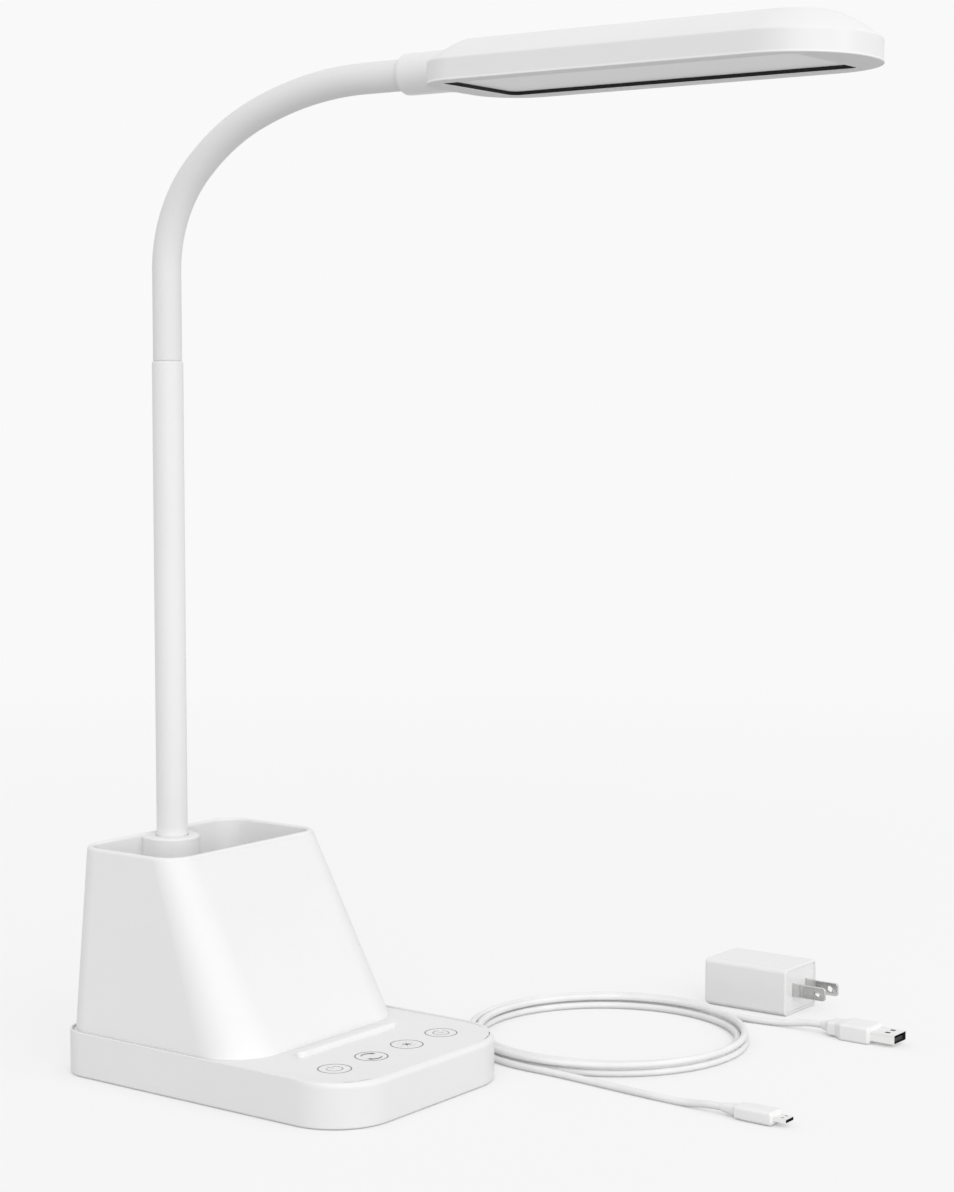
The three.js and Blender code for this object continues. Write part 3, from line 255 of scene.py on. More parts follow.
def lead_white():
    """Soft jacket of the lead: matt, with a slow unevenness along it and light scuffs."""
    finish = Finish("lead_jacket_white", 0.5, IOR=1.45)
    uneven = finish.noise(55, 3, 0.55)
    scuff = finish.noise(420, 5, 0.7).over(0.6, 0.85)
    finish.set("Base Color", finish.mix(uneven.over(0.3, 0.75), grey(0.8), grey(0.86)))
    finish.set("Roughness", 0.42 + uneven * 0.1 + scuff * 0.12)
    finish.bump(uneven * 0.6 + scuff * 0.3, 0.3)
    return finish.material


def opal():
    """Opal diffuser, unlit: a milky sheet with a faint frosting."""
    finish = Finish("diffuser_opal", 0.5, IOR=1.33)
    frost = finish.noise(1800, 2, 0.5)
    milk = finish.noise(12, 2, 0.5)
    finish.set("Base Color", finish.mix(milk, grey(0.92, 0.003), grey(0.95, 0.003)))
    finish.set("Roughness", 0.45 + frost * 0.15)
    finish.bump(frost, 0.15, 0.00004)
    return finish.material


def recess_painted_shade():
    """Painted shade: the walls of the light's recess, coloured nearly black for the shade in it."""
    finish = Finish("recess_wall_painted_shade", 0.7, IOR=1.3)
    grain = finish.noise(900, 3, 0.6)
    finish.set("Base Color", finish.mix(grain, grey(0.014), grey(0.026)))
    finish.set("Roughness", 0.6 + grain * 0.2)
    finish.bump(grain, 0.3)
    return finish.material


def print_grey(name, value):
    """Pad-printed grey ink: slightly uneven at its edges. The plug mouths use it in black for their insert
    and painted shade.
    """
    finish = Finish(name, 0.5)
    ink = finish.noise(1500, 3, 0.6)
    finish.set("Base Color", finish.mix(ink.over(0.35, 0.7), grey(value), grey(value * 1.25)))
    finish.set("Roughness", 0.42 + ink * 0.15)
    finish.bump(ink, 0.15, 0.00002)
    return finish.material


def metal(name, value, roughness, brushed, warm=0.0):
    """Plated sheet metal: fine lines one way, patches of tarnish, bright edges."""
    finish = Finish(name, roughness, 1.0)
    stretched = finish.node("ShaderNodeMapping", None, {"Vector": finish.place, "Scale": brushed})
    lines = finish.noise(1.0, 4, 0.6, stretched)
    spots = finish.noise(300, 4, 0.65).over(0.55, 0.8)
    body = finish.mix(spots * 0.4, grey(value, warm), grey(value * 0.8, warm))
    finish.set("Base Color", finish.mix(finish.edge() * 0.6, body, grey(min(value * 1.15, 0.97), warm)))
    finish.set("Roughness", roughness + (lines - 0.5) * 0.16 + spots * 0.1)
    finish.bump(lines, 0.2, 0.00003)
    return finish.material


def rubber():
    """Rubber of the feet: dull, with dust on it."""
    finish = Finish("foot_rubber_grey", 0.85, IOR=1.45)
    grain = finish.noise(1300, 4, 0.7)
    dust = finish.noise(120, 5, 0.7).over(0.5, 0.75)
    finish.set("Base Color", finish.mix(dust * 0.5, grey(0.55), grey(0.66, 0.006)))
    finish.set("Roughness", 0.75 + grain * 0.2)
    finish.bump(grain, 0.5)
    return finish.material


def circuit_board():
    """Solder mask with copper tracks under it and small tinned pads."""
    finish = Finish("circuit_board_green", 0.4)
    tracks = finish.node("ShaderNodeTexBrick", {"offset": 0.5},
                         {"Vector": finish.place, "Scale": 160.0, "Mortar Size": 0.03}, output="Fac")
    pads = finish.node("ShaderNodeTexVoronoi", {"feature": "F1"}, {"Vector": finish.place, "Scale": 260.0})
    mask = 1 - pads.over(0.1, 0.16)
    green = finish.mix(tracks, (0.03, 0.15, 0.07, 1), (0.05, 0.24, 0.1, 1))
    finish.set("Base Color", finish.mix(mask, green, grey(0.6)))
    finish.set("Roughness", 0.45 - mask * 0.15)
    finish.bump(tracks + mask, 0.3)
    return finish.material


def clear_guide():
    """Clear acrylic plate with a printed dot grid that lets the light out."""
    finish = Finish("light_guide_clear", 0.08, IOR=1.49, Transmission_Weight=0.85)
    dots = finish.node("ShaderNodeTexVoronoi", {"feature": "F1"}, {"Vector": finish.place, "Scale": 700.0})
    dot = 1 - dots.over(0.2, 0.3)
    finish.set("Base Color", finish.mix(dot, (0.93, 0.96, 0.97, 1), grey(0.85)))
    finish.set("Roughness", 0.06 + dot * 0.4)
    finish.bump(dot, 0.1, 0.00004)
    return finish.material


def wire_black():
    """Insulation of the inner wires, slightly uneven."""
    finish = Finish("wire_insulation_black", 0.45)
    uneven = finish.noise(200, 3, 0.6)
    finish.set("Base Color", finish.mix(uneven, grey(0.012), grey(0.03)))
    finish.set("Roughness", 0.38 + uneven * 0.15)
    finish.bump(uneven, 0.2)
    return finish.material


BODY_WHITE = moulded("body_white_moulded", 0.82, 0.42)
CUP_WHITE = moulded("cup_white_moulded", 0.82, 0.45)
HEAD_WHITE = moulded("head_white_moulded", 0.8, 0.36, grain=0.15)
UNDERSIDE_WHITE = underside_white()
TUBE_WHITE = tube_white()
SLEEVE_WHITE = sleeve_white()
SOFT_WHITE = soft_white()
LEAD_WHITE = lead_white()
PLUG_WHITE = moulded("plug_white_moulded", 0.86, 0.4, grain=0.3, scale=1800)
ADAPTER_WHITE = moulded("adapter_white_glossy", 0.82, 0.14, grain=0.04)
# A darker copy of the nickel finish for the blades, painted shade that darkens their reflections.
BLADE_NICKEL_PAINTED_SHADE = metal("blade_nickel_painted_shade", 0.6, 0.16, (60, 900, 900), 0.004)
OPAL = opal()
RECESS_PAINTED_SHADE = recess_painted_shade()
PRINT_GREY = print_grey("key_print_grey", 0.2)
PRINT_DARK = print_grey("key_print_dark_grey", 0.07)
PRINT_PALE = print_grey("key_print_pale_grey", 0.29)
# The mouths' black: the plug's insert, and painted shade inside the shells and in their latch windows.
MOUTH_BLACK_AND_SHADE = print_grey("plug_mouth_black_and_painted_shade", 0.012)
STEEL = metal("steel_zinc_plated", 0.55, 0.34, (400, 400, 60), 0.004)
NICKEL = metal("nickel_plated", 0.8, 0.2, (60, 900, 900), 0.006)
RUBBER = rubber()
BOARD = circuit_board()
GUIDE = clear_guide()
ALUMINIUM = metal("aluminium_rolled", 0.62, 0.38, (900, 40, 900))
WIRE_BLACK = wire_black()


# Forms
def outline(box, side=0.0, front=None, *, steps, straight=1):
    """A rounded rectangle from above, drawn in by an inset, with steps to a corner and to a straight side."""
    front = side if front is None else front
    rear_corner = max(box["rear_corner"] - side, 0.1)
    front_corner = max(box["front_corner"] - (side + front) / 2, 0.1)
    left, right = box["left"] + side, box["right"] - side
    low, high = box["front"] + front, box["rear"] - side
    corners = (
        (right - rear_corner, high - rear_corner, rear_corner, 0),
        (left + rear_corner, high - rear_corner, rear_corner, 90),
        (left + front_corner, low + front_corner, front_corner, 180),
        (right - front_corner, low + front_corner, front_corner, 270),
    )
    points = []
    for x, y, radius, start in corners:
        for i in range(steps + 1):
            angle = math.radians(start + 90 * i / steps)
            points.append((x + radius * math.cos(angle), y + radius * math.sin(angle)))
    if straight == 1:
        return points
    full = []
    for i, (x, y) in enumerate(points):
        full.append((x, y))
        if (i + 1) % (steps + 1) == 0:
            to_x, to_y = points[(i + 1) % len(points)]
            for k in range(1, straight):
                full.append((x + (to_x - x) * k / straight, y + (to_y - y) * k / straight))
    return full


def at(z, points):
    """Flat points, raised to a height."""
    return [(x, y, z) for x, y in points]


def circle(sides):
    """The cosines and sines round a full turn."""
    angles = [2 * math.pi * i / sides for i in range(sides)]
    return [(math.cos(angle), math.sin(angle)) for angle in angles]


class Shape:
    """Points and faces of a piece in millimetres, with a finish for each face."""

    def __init__(self):
        self.points = []
        self.faces = []
        self.finishes = []

    def rings(self, rings, closed=False, caps=(True, True), finish=0, finishes=None):
        """Joins rings of equal count, one finish to a ring. With closed, the last ring joins the first."""
        count = len(rings[0])
        last = len(rings)
        start = len(self.points)
        finishes = finishes or [finish] * last
        self.points += [tuple(p) for ring in rings for p in ring]
        for k in range(last if closed else last - 1):
            here = start + k * count
            there = start + ((k + 1) % last) * count
            for i in range(count):
                j = (i + 1) % count
                self.faces.append((here + i, here + j, there + j, there + i))
                self.finishes.append(finishes[k])
        if caps[0] and not closed:
            self.faces.append(tuple(start + i for i in reversed(range(count))))
            self.finishes.append(finishes[0])
        if caps[1] and not closed:
            self.faces.append(tuple(start + (last - 1) * count + i for i in range(count)))
            self.finishes.append(finishes[-1])
        return self

    def lathe(self, profile, sides):
        """A closed form turned about the arm's axis. The profile lists (radius, height)."""
        return self.rings([[(radius * c, ARM_Y + radius * s, z) for c, s in circle(sides)]
                           for radius, z in profile], closed=True)

    def move(self, matrix):
        self.points = [tuple(matrix @ Vector(p)) for p in self.points]
        return self

    def piece(self, name, *finishes, crease=32, outward=True):
        mesh = bpy.data.meshes.new(name)
        mesh.from_pydata([Vector(p) * MM for p in self.points], [], self.faces)
        for finish in finishes:
            mesh.materials.append(finish)
        mesh.polygons.foreach_set("material_index", self.finishes)
        if outward:
            made = bmesh.new()
            made.from_mesh(mesh)
            bmesh.ops.recalc_face_normals(made, faces=made.faces)
            made.to_mesh(mesh)
            made.free()
        mesh.polygons.foreach_set("use_smooth", [True] * len(mesh.polygons))
        mesh.set_sharp_from_angle(angle=math.radians(crease))
        mesh.update()
        piece = bpy.data.objects.new(name, mesh)
        scene.collection.objects.link(piece)
        return piece


def settle(piece):
    """Keeps the result of the piece's modifiers as its mesh."""
    bpy.context.view_layer.update()
    view = bpy.context.evaluated_depsgraph_get()
    done = bpy.data.meshes.new_from_object(piece.evaluated_get(view), depsgraph=view)
    piece.modifiers.clear()
    piece.data = done
    return piece


def even_shading(piece):
    """Weights the normals by face area, so that wide flats stay flat beside small rounds."""
    weighted = piece.modifiers.new("flats", "WEIGHTED_NORMAL")
    weighted.mode = "FACE_AREA"
    weighted.keep_sharp = True
    return settle(piece)


def cut(piece, *tools):
    """Cuts the tools out of a piece and removes them."""
    for tool in tools:
        modifier = piece.modifiers.new("cut", "BOOLEAN")
        modifier.operation = "DIFFERENCE"
        modifier.solver = "EXACT"
        modifier.object = tool
    settle(piece)
    for tool in tools:
        bpy.data.objects.remove(tool)


def dress(piece, body, slot, *nodes):
    """Says which body a piece moves with and hides the solids that it replaces. The slot is not used."""
    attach(piece, body)
    if nodes:
        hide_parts(*nodes)


# Lead: tails along the table through listed points, and a coil of three and a half turns
MICRO_TAIL = [
    (60, -185.7, 3.1), (60, -179, 2.9), (60.2, -167, 1.7), (61.2, -147, 1.6),
    (63, -125, 1.6), (64.8, -105, 1.6), (65.4, -92, 1.6), (65.4, -86.5, 1.6),
]
USB_TAIL = [
    (196.6, -86.5, 5.4), (196.6, -93, 5.2), (197.2, -107, 2.6), (198.5, -121, 1.6),
    (200.4, -137, 2.1), (201.4, -149, 3.7), (201.6, -155.5, 3.9),
]
COIL_CENTRE = (131, -83)
COIL_RADIUS = 65.6
COIL_TURNS = 3.5
COIL_PITCH = 3.8
COIL_STEPS = 48


def smooth(value, low, high):
    t = min(max((value - low) / (high - low), 0), 1)
    return t * t * (3 - 2 * t)


def coil_point(turn):
    middle = COIL_TURNS / 2
    radius = COIL_RADIUS - COIL_PITCH * (middle - abs(turn - middle))
    angle = math.pi - 2 * math.pi * turn
    return (COIL_CENTRE[0] + radius * math.cos(angle), COIL_CENTRE[1] + radius * math.sin(angle),
            LEAD_RADIUS + COIL_PITCH * smooth(turn, middle - 0.25, middle + 0.25))


def through(points, steps):
    """A smooth curve through points, with more points between each pair."""
    points = [Vector(p) for p in points]
    ends = [2 * points[0] - points[1], *points, 2 * points[-1] - points[-2]]
    made = []
    for i in range(1, len(ends) - 2):
        a, b, c, d = ends[i - 1:i + 3]
        spans = [math.sqrt((q - p).length) for p, q in ((a, b), (b, c), (c, d))]
        t1, t2, t3 = spans[0], spans[0] + spans[1], sum(spans)
        for k in range(steps):
            t = t1 + (t2 - t1) * k / steps
            ab = a * ((t1 - t) / t1) + b * (t / t1)
            bc = b * ((t2 - t) / (t2 - t1)) + c * ((t - t1) / (t2 - t1))
            cd = c * ((t3 - t) / (t3 - t2)) + d * ((t - t2) / (t3 - t2))
            abc = ab * ((t2 - t) / t2) + bc * (t / t2)
            bcd = bc * ((t3 - t) / (t3 - t1)) + cd * ((t - t1) / (t3 - t1))
            made.append(abc * ((t2 - t) / (t2 - t1)) + bcd * ((t - t1) / (t2 - t1)))
    return made + [points[-1]]


coil_count = int(COIL_TURNS * COIL_STEPS)
lead_route = [
    *through(MICRO_TAIL, 6),
    *[Vector(coil_point(COIL_TURNS * i / coil_count)) for i in range(coil_count + 1)],
    *through(USB_TAIL, 6),
]
lead_curve = bpy.data.curves.new("lead", "CURVE")
lead_curve.dimensions = "3D"
lead_curve.bevel_depth = LEAD_RADIUS * MM
lead_curve.bevel_resolution = 5
lead_curve.use_fill_caps = True
lead_spline = lead_curve.splines.new("POLY")
lead_spline.points.add(len(lead_route) - 1)
for point, place in zip(lead_spline.points, lead_route):
    point.co = (*(place * MM), 1)
lead_spline.use_smooth = True
lead_curve.materials.append(LEAD_WHITE)
lead = bpy.data.objects.new("lead", lead_curve)
scene.collection.objects.link(lead)
dress(lead, "stand", "lead_white", "lead_coil", "lead_micro_tail", "lead_usb_tail")
lead_length = sum((b - a).length for a, b in zip(lead_route, lead_route[1:])) * MM


# Plugs, built pointing up from the nose at 0, then laid along -Y
MICRO_PLACE = (60, -212.0, 3.1)  # of the nose
USB_PLACE = (201.6, -183.8, 3.9)
MICRO_LEVELS = (
    (7.6, 3.8, 1.1, 0), (8.2, 4.4, 1.2, 0.12), (9.3, 5.5, 1.4, 0.8), (9.6, 5.8, 1.4, 1.2),
    (9.4, 5.8, 1.4, 12), (8.7, 5.6, 1.4, 17.6), (8.5, 5.5, 1.4, 17.9), (7.0, 4.9, 1.4, 18.5),
    (6.0, 4.6, 1.5, 18.9), (5.6, 4.5, 1.6, 19.4), (4.4, 4.1, 1.7, 23.5), (3.7, 3.6, 1.6, 25.6),
    (3.3, 3.3, 1.5, 26.25),
)
USB_LEVELS = (
    (13.6, 6.0, 1.0, 0), (14.4, 6.8, 1.1, 0.12), (15.2, 7.6, 1.2, 0.9), (15.4, 7.8, 1.2, 1.2),
    (15.4, 7.8, 1.2, 14.4), (15.2, 7.7, 1.2, 14.8), (10.4, 6.6, 1.2, 18.3), (10.1, 6.5, 1.2, 18.7),
    (10.0, 6.4, 1.2, 22.4), (9.7, 6.2, 1.2, 22.8), (7.4, 5.2, 1.4, 24.0), (5.8, 4.6, 1.6, 24.6),
    (4.6, 4.1, 1.7, 26.6), (3.7, 3.6, 1.6, 27.8), (3.3, 3.3, 1.5, 28.25),
)


def plug_ring(width, height, corner, z, steps=5):
    return at(z, outline(round_box(width / 2, -height / 2, height / 2, corner), steps=steps))


def plug_body(levels):
    """A moulding through levels of (width, height, corner radius, distance from the nose)."""
    return Shape().rings([plug_ring(*level) for level in levels])


def lay_plug(shape, place):
    """Turns a plug from upright to pointing along -Y with its nose at the given place."""
    return shape.move(Matrix.Translation(place) @ Matrix.Rotation(math.radians(-90), 4, "X"))


def shell_of(width, height, length, wall, window, tongue):
    """A pressed metal shell, open at its mouth, with two latch windows on each broad side, drawn as dark
    painted shade.
    """
    rim = wall * 0.4
    inside = (width - 2 * wall, height - 2 * wall, 0.3)
    # The inside takes the mouth's finish: painted shade on the shell's inner walls, black on the tongue.
    shape = Shape().rings([
        plug_ring(width, height, 0.5, 0, 3),
        plug_ring(width, height, 0.5, -length + rim, 3),
        plug_ring(width - rim, height - rim, 0.4, -length, 3),
        plug_ring(*inside, -length, 3),
        plug_ring(*inside, -0.6, 3),
    ], finishes=[0, 0, 0, 1, 1])
    top = height / 2 - wall - 0.25
    tongue_outline = outline(round_box(width / 2 - 2 * wall, top - tongue, top, 0.15), steps=2)
    shape.rings([at(-0.5, tongue_outline), at(-length + 3 * wall, tongue_outline)], finish=1)
    # Latch windows are thin dark patches on the faces, painted shade where the holes would be.
    out, y, wide, long = window
    for x in (-out, out):
        for side in (-1, 1):
            face = side * (height / 2 + 0.02)
            corners = [(x - wide / 2, y - long / 2), (x + wide / 2, y - long / 2),
                       (x + wide / 2, y + long / 2), (x - wide / 2, y + long / 2)]
            depths = (face - side * 0.1, face)
            shape.rings([[(a, depth, c) for a, c in corners] for depth in depths], finish=1)
    return shape


micro_plug = lay_plug(plug_body(MICRO_LEVELS), MICRO_PLACE).piece("micro_plug_moulding", PLUG_WHITE)
dress(even_shading(micro_plug), "stand", "lead_white", "micro_plug")
usb_plug = lay_plug(plug_body(USB_LEVELS), USB_PLACE).piece("usb_plug_moulding", PLUG_WHITE)
dress(even_shading(usb_plug), "stand", "lead_white", "usb_plug")
micro_shell = lay_plug(shell_of(6.9, 1.9, 5.8, 0.3, (1.6, -3.4, 0.7, 1.2), 0.5), MICRO_PLACE)
micro_shell = micro_shell.piece("micro_plug_metal", NICKEL, MOUTH_BLACK_AND_SHADE)
dress(micro_shell, "stand", "nickel", "micro_plug_shell")
usb_shell = lay_plug(shell_of(12, 4.5, 12.3, 0.35, (2.6, -7.4, 2.2, 2.4), 1.9), USB_PLACE)
usb_shell = usb_shell.piece("usb_plug_metal", NICKEL, MOUTH_BLACK_AND_SHADE)
dress(usb_shell, "stand", "nickel", "usb_plug_shell")
tuple(lead_route[0] * MM)


# Base: a low shell with rounded edges, a thin wall and a fine gap round its deck, and an open underside
FRONT_EDGE = 3  # radius of the upper edge at the front
WALL_EDGE = 0.3  # radius of the wall's upper edge
WALL_RISE = 0.6  # of the wall over the deck
WALL_LIMIT = 0.9  # inset between the wall and the gap
WALL_FADE = (50, 72)  # distance to the front over which the wall comes down
GAP_FLOOR = 18.5
DECK_INSET = 2.8  # how much further in the deck starts at the front
SEAT = 19.42  # lower end of what stands on the deck
STOP = round_box(32.5, -36.3, -31.7, 2.29)


def base_ring(z, side, front):
    """A level of the base. Towards the front the wall comes down to the deck and the gap fills up."""
    ring = []
    for x, y in outline(BASE, side, front, steps=14, straight=8):
        to_deck = z - DECK_TOP
        if side < WALL_LIMIT:
            to_deck = WALL_RISE * max(z - (BASE_TOP - FRONT_EDGE), 0) / FRONT_EDGE
        ring.append((x, y, z - to_deck * smooth(-y, *WALL_FADE)))
    return ring


def base_piece():
    foot = [(17.2, 2.2), (0.4, 2.2), (0.3, 1.9), (0.3, 0.8), (0.4, 0.35), (0.7, 0.1), (1.2, 0)]
    deck = [(BASE_TOP, 0.75), (BASE_TOP - 0.1, 0.88), (GAP_FLOOR, 0.92), (GAP_FLOOR, 1.75),
            (DECK_TOP - 0.1, 1.8), (DECK_TOP, 1.9)]
    rings = [base_ring(z, side, side) for z, side in foot]
    for degrees in (0, 12, 24, 36, 48, 58, 66, 72, 78, 84, 90):
        angle = math.radians(degrees)
        z = BASE_TOP - FRONT_EDGE * (1 - math.sin(angle))
        into = max(z - (BASE_TOP - WALL_EDGE), 0) / WALL_EDGE
        side = WALL_EDGE * (1 - math.sqrt(max(1 - into * into, 0)))
        rings.append(base_ring(z, side, FRONT_EDGE * (1 - math.cos(angle))))
    rings += [base_ring(z, side, side + DECK_INSET) for z, side in deck]
    base = Shape().rings(rings).piece("base_moulding", BODY_WHITE, crease=40)
    inlet = outline(round_box(4.1, 6.6, 10, 1.2), steps=4)
    slot = Shape().rings([[(x, y, z) for x, z in inlet] for y in (70, 90)])
    cut(base, slot.piece("inlet_slot", BODY_WHITE))
    return even_shading(base)


dress(base_piece(), "stand", "body_white", "base_shell")


# Phone stop, a soft strip with rounded ends
def stop_piece():
    levels = [(SEAT, 0), (20.9, 0), (21.4, 0.12), (21.75, 0.4), (21.95, 0.85), (22.0, 1.3)]
    strip = Shape().rings([at(z, outline(STOP, inset, steps=8)) for z, inset in levels])
    return even_shading(strip.piece("phone_stop_strip", SOFT_WHITE, crease=50))


dress(stop_piece(), "stand", "stop_white", "phone_stop")


# Pen cup: a tapered moulding with a sloping front, a rounded rim and a boss for the arm
CUP_WALL = 2.6
RIM_START = 98.8
RIM_RISE = 1.2
FOOT_EDGE = 0.35
WELL_DRAFT = 1.2
BOSS = ((12.5, 20), (12.5, 98.0), (12.38, 98.5), (12.05, 98.95), (11.5, 99.2), (7.7, 99.2), (7.4, 99.05),
        (7.3, 98.7), (7.3, 20))  # radii and heights
BOSS_REAR = 78.2  # inside the cup's rear wall
BOSS_SQUARED_AT = 6  # behind the arm's axis
BORE_LIMIT = 10  # radius between the boss's bore and its outside


def cup_box(height):
    """The cup's outline at a height, between its outlines at the foot and the rim."""
    share = (height - CUP_FOOT) / (CUP_RIM - CUP_FOOT)
    return {key: low + (CUP_RIM_BOX[key] - low) * share for key, low in CUP_FOOT_BOX.items()}


def cup_ring(z, box, inset=0.0):
    return at(z, outline(box, inset, steps=14))


def boss_point(x, y, z):
    """Squares the boss towards the rear wall, where it ends. Its bore stays round."""
    radius, back = math.hypot(x, y - ARM_Y), max(y - ARM_Y, 0)
    if radius > BORE_LIMIT:
        x = math.copysign(radius * (abs(x) / radius) ** (1 - 0.5 * min(back / BOSS_SQUARED_AT, 1)), x)
    return (x, min(y, BOSS_REAR), z)


def cup_piece():
    rings = [cup_ring(SEAT, cup_box(SEAT), 0.25)]
    for k in range(13):
        z = SEAT + FOOT_EDGE + (RIM_START - SEAT - FOOT_EDGE) * k / 12
        rings.append(cup_ring(z, cup_box(z)))
    for degrees in range(0, 181, 15):
        angle = math.radians(degrees)
        inset = CUP_WALL / 2 - CUP_WALL / 2 * math.cos(angle)
        rings.append(cup_ring(RIM_START + RIM_RISE * math.sin(angle), CUP_RIM_BOX, inset))
    for k in range(1, 7):
        z = RIM_START - (RIM_START - WELL_FLOOR - 2) * k / 6
        rings.append(cup_ring(z, CUP_RIM_BOX, CUP_WALL + WELL_DRAFT * k / 6))
    rings.append(cup_ring(WELL_FLOOR + 0.6, CUP_RIM_BOX, CUP_WALL + 1.8))
    rings.append(cup_ring(WELL_FLOOR, CUP_RIM_BOX, CUP_WALL + 3.4))
    shape = Shape().rings(rings)
    boss_start = len(shape.points)
    shape.lathe(BOSS, 72)
    shape.points[boss_start:] = [boss_point(*point) for point in shape.points[boss_start:]]
    return even_shading(shape.piece("pen_cup_moulding", CUP_WHITE, crease=40))


dress(cup_piece(), "stand", "body_white", "pen_cup")

# Rigid tube of the arm
TUBE_BORE = 5.5
TUBE_FOOT = 12.2
tube = Shape().lathe([
    (TUBE_BORE, TUBE_FOOT), (TUBE_RADIUS, TUBE_FOOT), (TUBE_RADIUS, 40), (TUBE_RADIUS, 120),
    (TUBE_RADIUS, 220), (TUBE_RADIUS, TUBE_TOP - 0.9), (6.93, TUBE_TOP - 0.45), (6.72, TUBE_TOP - 0.12),
    (6.45, TUBE_TOP), (TUBE_BORE, TUBE_TOP),
], 64)
dress(even_shading(tube.piece("arm_tube", TUBE_WHITE)), "stand", "tube_white", "lower_tube")


# Neck: one smooth sleeve, made in stretches that each span one joint
SLEEVE_STEP = 1.2
SLEEVE_START = ((0, 5.3), (0.02, 6.1), (0.25, 6.4), (0.6, NECK_RADIUS))  # length along the neck, radius
SLEEVE_IN_COLLAR = 2.9
BEND_MARGIN = 0.5  # taken from half a joint step to give a stretch's reach


def neck_at(length):
    """The centre line's place and heading at a length from the tube's end."""
    y, z, heading, left = ARM_Y, TUBE_TOP + min(length, NECK_STRAIGHT), 0.0, length - NECK_STRAIGHT
    if left <= 0:
        return Vector((0, y, z)), 0.0
    for radius, end in NECK_ARCS:
        turn = min(max(left, 0) / radius, math.radians(end) - heading)
        y -= radius * (math.cos(heading) - math.cos(heading + turn))
        z += radius * (math.sin(heading + turn) - math.sin(heading))
        heading += turn
        left -= radius * turn
    left = max(left, 0)
    return Vector((0, y - left * math.sin(heading), z + left * math.cos(heading))), heading


def sleeve_ring(length, radius):
    place, heading = neck_at(length)
    side = Vector((1, 0, 0)) * radius
    across = Vector((0, math.cos(heading), math.sin(heading))) * radius
    return [tuple(place + side * c + across * s) for c, s in circle(48)]


def sleeve(name, start, end, first=False, last=False):
    count = max(int((end - start) / SLEEVE_STEP), 2)
    rings = [sleeve_ring(start + (end - start) * k / count, NECK_RADIUS) for k in range(count + 1)]
    if first:
        rings[0:1] = [sleeve_ring(*level) for level in SLEEVE_START]
    return Shape().rings(rings, caps=(first, last)).piece(name, SLEEVE_WHITE, crease=50, outward=False)


neck_nodes = ["neck_root", *["neck_link_%d" % i for i in range(1, JOINT_COUNT)]]
for i in range(JOINT_COUNT):
    joint = FIRST_JOINT + JOINT_STEP * i
    start = 0 if i == 0 else joint - JOINT_STEP / 2
    stretch = sleeve("neck_sleeve_%d" % (i + 1), start, joint + JOINT_STEP / 2, first=i == 0)
    reach = JOINT_STEP / 2 - BEND_MARGIN
    tuple(neck_at(joint - reach)[0] * MM)
    tuple(neck_at(joint + reach)[0] * MM)
    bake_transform(stretch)
    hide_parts(neck_nodes[i])
tip_start = FIRST_JOINT + JOINT_STEP * (JOINT_COUNT - 0.5)
sleeve_tip = sleeve("neck_sleeve_tip", tip_start, NECK_LENGTH + SLEEVE_IN_COLLAR, last=True)
dress(sleeve_tip, "head", "neck_white", "neck_tip")

# Head: band, domed bevel, light opening and collar, built level and set on the neck's end
OPENING = round_box(25.1, -195, -36, 4)
LIP = 0.3  # a fine lip round the frame's lower edge
RECESS_ROOF = -3.95
PANEL_LEVELS = (-6.75, -4.0)
PANEL_IN_WALL = 0.4
CORNER_STEPS = 16
ROOT_STEPS = 72
BEVEL = ((BAND_TOP + 0.7, 0.35), (BAND_TOP + 4.4, 5.4), (HEAD_TOP - 0.4, 14.6))  # heights and insets
BEVEL_STEPS = 30
CROWN = 1.02  # of the domed line over its middle level
SHELL, RECESS, UNDERSIDE = range(3)  # finishes of the head
ROUND_REACH = 2.6  # of the small hollow round between bevel and collar
ROUND_FADE = (33.5, 39.6)
neck_end, end_heading = neck_at(NECK_LENGTH)
on_head = Matrix.Translation(neck_end) @ Matrix.Rotation(end_heading - math.pi / 2, 4, "X")


def head_ring(box, inset=0.0):
    """A level of the head, with close points along the root side, where the collar runs into it."""
    points = outline(box, inset, steps=CORNER_STEPS)
    (x, y), (to_x, _) = points[CORNER_STEPS:CORNER_STEPS + 2]
    row = [(x + (to_x - x) * k / ROOT_STEPS, y) for k in range(1, ROOT_STEPS)]
    return points[:CORNER_STEPS + 1] + row + points[CORNER_STEPS + 1:]


def collar_height(x):
    """A little under the collar's surface as it runs on into the bevel, straight down past its flank."""
    radius, flank, flank_height, slope = 8.42, 8.1, 2.28, 3.66
    if abs(x) > flank:
        return flank_height - slope * (abs(x) - flank)
    return math.sqrt(radius ** 2 - x * x)


def blended(x, y, z):
    """Raises the bevel beside the collar, so that the two meet in a small hollow round."""
    reach = ROUND_REACH * (1 - smooth(-y, *ROUND_FADE))
    over = collar_height(x)
    if z <= BAND_TOP or reach < 0.05 or over - z > reach:
        return z
    lift = max(reach - abs(over - z), 0) ** 2 / (4 * reach)
    return max(z, over) + lift


def bevel_levels():
    """A slightly domed line from the band to the top, through the middle level of BEVEL."""
    (low, low_inset), (middle, middle_inset), (high, high_inset) = BEVEL
    rise, run = high - low, high_inset - low_inset
    crown = (middle - low) - rise * (middle_inset - low_inset) / run
    levels = []
    for k in range(1, BEVEL_STEPS + 1):
        share = k / BEVEL_STEPS
        bulge = crown * 4 * share * (1 - share) * CROWN
        levels.append((low + rise * share + bulge, low_inset + run * share))
    return levels


